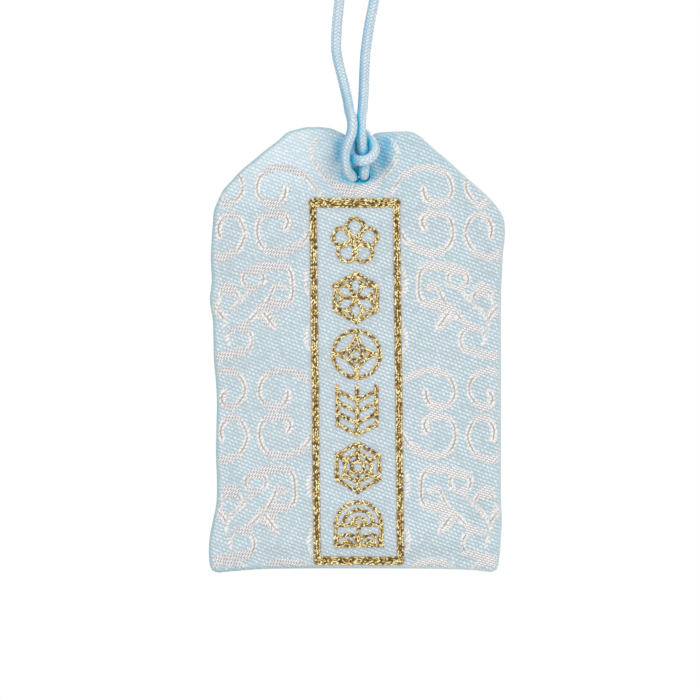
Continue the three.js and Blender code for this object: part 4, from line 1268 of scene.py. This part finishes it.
class OMAMORI_OT_gold(Operator):
    """Lays the gold weft of the border and of the six motifs as small rounded floats"""

    bl_idname = "omamori.gold"
    bl_label = "Gold weft"

    def execute(self, context):
        settings = context.scene.omamori_gold
        tree, chance = float_tree(gold_material(settings)), np.random.default_rng(settings.seed)
        groups = {"gold_border": border_strokes()}
        groups.update({f"gold_motif_{row + 1}": motif_strokes(row) for row in range(len(MOTIFS))})
        for node, strokes in groups.items():
            flat, spins = float_places(strokes, settings.pitch, settings.stray, chance)
            x, z = flat[:, 0] + lean(flat[:, 1]), flat[:, 1]
            step = 0.2 * MM
            slope_x = (panel_depth(x + step, z) - panel_depth(x - step, z)) / (2 * step)
            slope_z = (panel_depth(x, z + step) - panel_depth(x, z - step)) / (2 * step)
            y = -panel_depth(x, z) - 0.35 * settings.float_height
            facing = np.stack([slope_x, np.ones(len(x)), slope_z], axis=1)
            sizes = (settings.float_length, settings.float_width, settings.float_height)
            name = node.replace("gold", "weft")
            piece = lay_floats(name, tree, np.stack([x, y, z], axis=1), spins, facing, sizes, settings.seed)
            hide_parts(node)
            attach(piece, "charm")
        return {"FINISHED"}


# Seam stitches and contents
class OMAMORI_OT_stitches(Operator):
    """Sews both sides: slanted stitches that lie in the groove between the two panels"""

    bl_idname = "omamori.stitches"
    bl_label = "Seam stitches"

    def execute(self, context):
        settings = context.scene.omamori_stitches
        colours = srgb(222, 240, 248), srgb(160, 200, 220)
        tree = float_tree(plain_material("seam_thread", *colours, 4000, roughness=0.5))
        for side, name in ((-1, "left"), (1, "right")):
            low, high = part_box(f"seam_thread_{name}")
            line = RUNS[name][np.argsort(RUNS[name][:, 1])]
            z = np.arange(low[2], high[2], settings.pitch)
            x = np.interp(z, line[:, 1], line[:, 0]) - side * settings.inset
            slants = np.where(np.arange(len(z)) % 2, 1, -1) * settings.slant
            facing = np.tile((side, 0.0, 0.0), (len(z), 1))
            places = np.stack([x, np.zeros(len(z)), z], axis=1)
            sizes = (settings.length, settings.thread, settings.thread)
            piece = lay_floats(f"stitches_{name}", tree, places, math.pi / 2 + slants, facing, sizes, 3)
            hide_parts(f"seam_thread_{name}")
            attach(piece, "charm")
        return {"FINISHED"}


def bent_sheet(name, middle, thickness, ends, place, waves, material):
    """A sheet of even thickness: its middle line swept between two ends, with soft waves."""
    ahead = unit(np.gradient(middle, axis=0))
    out = np.stack([ahead[:, 1], -ahead[:, 0]], axis=1)
    along = arc_lengths(middle)
    stations = np.linspace(*ends, SHEET_STATIONS)
    wave = waves * np.sin(stations[:, None] / MM * 0.55 + 1.3) * np.sin(along[None] / MM * 0.38)
    layers = [middle[None] + out[None] * (wave[..., None] + side * thickness / 2) for side in (1, -1)]
    loops = np.concatenate((layers[0], layers[1][:, ::-1]), axis=1)
    count, size = len(middle), 2 * len(middle)
    vertices = place(stations[:, None] + 0 * loops[..., 0], loops[..., 0], loops[..., 1]).reshape(-1, 3)
    numbers = np.arange(len(stations) * size).reshape(-1, size)
    faces = [ring_faces(numbers[k], numbers[k + 1]) for k in range(len(stations) - 1)]
    for loop, turned in ((numbers[0], 1), (numbers[-1], -1)):
        outer, inner = loop[:count], loop[count:][::-1]
        faces.append(np.stack([outer[:-1], inner[:-1], inner[1:], outer[1:]], axis=1)[:, ::turned])
    return new_piece(name, vertices, np.vstack(faces), material), along[-1]


class OMAMORI_OT_contents(Operator):
    """Makes what the pouch holds: the fleece strip and the paper round the tablet, and gives the card and the
    tablet their finishes
    """

    bl_idname = "omamori.contents"
    bl_label = "Contents"

    def execute(self, context):
        settings = context.scene.omamori_contents
        card = plain_material("grey_card", srgb(205, 194, 172), srgb(170, 158, 134), 1400)
        wood = plain_material("cypress", srgb(222, 190, 142), srgb(188, 148, 98), 500, (1, 1, 0.06), 0.6)
        for name, material in (("stiffener_card", card), ("inner_tablet", wood)):
            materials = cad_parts[name].data.materials
            materials.clear()
            materials.append(material)

        low, high = (np.array(corner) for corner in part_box("interfacing"))
        half = (high[1] - low[1] - settings.fleece) / 2
        y, foot, top = (low[1] + high[1]) / 2, low[2] + settings.fleece / 2 + half, high[2]
        bend = [(y - half * math.cos(a), foot - half * math.sin(a)) for a in np.linspace(0, math.pi, 17)]
        middle = resample(np.array([(y - half, top), *bend, (y + half, top)]), 160)
        fleece, run = bent_sheet(
            "fleece_strip", middle, settings.fleece, (low[0], high[0]),
            lambda t, a, b: np.stack([t, a, b], axis=-1), 0.05 * MM,
            plain_material("fleece", srgb(240, 240, 236), srgb(214, 214, 208), 900),
        )
        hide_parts("interfacing")

        low, high = (np.array(corner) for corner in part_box("paper_wrapper"))
        x, y = (high[:2] - low[:2] - settings.paper) / 2
        ring = [(PAPER_SPLIT, y)]
        for right, back, start in ((1, 1, 90), (1, -1, 0), (-1, -1, -90), (-1, 1, -180)):
            cx, cy = right * (x - PAPER_CORNER), back * (y - PAPER_CORNER)
            for angle in (math.radians(start - turn) for turn in (0, 30, 60, 90)):
                ring.append((cx + PAPER_CORNER * math.cos(angle), cy + PAPER_CORNER * math.sin(angle)))
        middle = resample(np.array([*ring, (-PAPER_SPLIT, y)]) + (low[:2] + high[:2]) / 2, 220)
        paper, run = bent_sheet(
            "paper_fold", middle, settings.paper, (low[2], high[2]),
            lambda t, a, b: np.stack([a, b, t], axis=-1), 0.02 * MM,
            plain_material("washi", srgb(248, 245, 236), srgb(224, 218, 202), 700, (1, 1, 0.3)),
        )
        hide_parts("paper_wrapper")
        for piece, slot in ((fleece, "interfacing"), (paper, "washi")):
            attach(piece, "charm")
        return {"FINISHED"}


# Stage
def lamp(name, location, size, power):
    light = bpy.data.lights.new(name, "AREA")
    light.shape, light.size, light.energy = "DISK", size, power
    holder = new_object(name, light)
    holder.location = location
    aim = holder.location.copy()
    aim.z += 0.1
    holder.rotation_euler = aim.to_track_quat("Z", "Y").to_euler()


def background_rays(recipe):
    """1 for rays that see the background itself: straight from the camera, mirrored or through glass."""
    rays = recipe.outputs("ShaderNodeLightPath")
    return rays["Is Camera Ray"].largest(rays["Is Glossy Ray"]).largest(rays["Is Transmission Ray"])


class OMAMORI_OT_stage(Operator):
    """Makes the camera, the soft lights, the white surround and the pale floor"""

    bl_idname = "omamori.stage"
    bl_label = "Stage"

    def execute(self, context):
        settings, scene = context.scene.omamori_stage, context.scene
        camera = bpy.data.cameras.new("camera")
        camera.lens = settings.lens
        camera.clip_start, camera.clip_end = 0.01, 20
        holder = new_object("camera", camera)
        holder.location = CAMERA_PLACE
        holder.rotation_euler = (math.pi / 2, 0, 0)
        scene.camera = holder

        lamp("key", (-0.35, -0.55, 0.25), 0.35, settings.key_power)
        lamp("fill", (0.45, -0.4, 0.0), 0.4, settings.fill_power)
        lamp("back", (0.2, 0.6, 0.15), 0.5, settings.back_power)

        world = Recipe(bpy.data.worlds.new("surround"))
        sockets = {"Value": background_rays(world), "To Min": settings.surround, "To Max": 1.0}
        strength = world.node("ShaderNodeMapRange", sockets=sockets)
        surround = world.node("ShaderNodeBackground", sockets={"Color": (1, 1, 1), "Strength": strength})
        scene.world = world.end("ShaderNodeOutputWorld", surround)

        recipe = Recipe(bpy.data.materials.new("pale_floor"))
        plain = recipe.node("ShaderNodeBsdfDiffuse", sockets={"Color": (0.88, 0.88, 0.88)})
        white = recipe.node("ShaderNodeEmission", sockets={"Color": (1, 1, 1), "Strength": 1.0})
        x, y, _ = recipe.split(recipe.place())
        rim = x.hypot(y).step(FLOOR_RADIUS * 0.5, FLOOR_RADIUS * 0.98)
        share = background_rays(recipe) * (0.75 + rim * 0.25)
        mixed = recipe.node("ShaderNodeMixShader", sockets={0: share, 1: plain, 2: white})
        material = recipe.end("ShaderNodeOutputMaterial", mixed)
        ring = [(FLOOR_RADIUS * math.cos(a), FLOOR_RADIUS * math.sin(a), FLOOR_Z) for a in turns(64)]
        floor = new_piece("floor", ring, [tuple(range(len(ring)))], material)
        scene.view_settings.view_transform = "Standard"
        return {"FINISHED"}


class OMAMORI_PT_panel(Panel):
    bl_idname = "OMAMORI_PT_panel"
    bl_label = "Omamori charm"
    bl_space_type = "VIEW_3D"
    bl_region_type = "UI"
    bl_category = "Omamori"

    def draw(self, context):
        for operator in OPERATORS:
            self.layout.operator(operator.bl_idname)


SETTINGS = {
    "omamori_stage": OmamoriStageSettings, "omamori_cord": OmamoriCordSettings,
    "omamori_cloth": OmamoriClothSettings, "omamori_gold": OmamoriGoldSettings,
    "omamori_stitches": OmamoriStitchSettings, "omamori_contents": OmamoriContentsSettings,
}
OPERATORS = (
    OMAMORI_OT_stage, OMAMORI_OT_cord, OMAMORI_OT_cloth, OMAMORI_OT_gold, OMAMORI_OT_stitches,
    OMAMORI_OT_contents,
)


def register():
    for kind in (*SETTINGS.values(), *OPERATORS, OMAMORI_PT_panel):
        bpy.utils.register_class(kind)
    for name, kind in SETTINGS.items():
        setattr(bpy.types.Scene, name, PointerProperty(type=kind))


def unregister():
    for name in SETTINGS:
        delattr(bpy.types.Scene, name)
    for kind in (OMAMORI_PT_panel, *reversed(OPERATORS), *SETTINGS.values()):
        bpy.utils.unregister_class(kind)


def main():
    register()
    bpy.ops.omamori.stage()
    bpy.ops.omamori.cord()
    bpy.ops.omamori.cloth()
    bpy.ops.omamori.gold()
    bpy.ops.omamori.stitches()
    bpy.ops.omamori.contents()


if __name__ == "__main__":
    main()
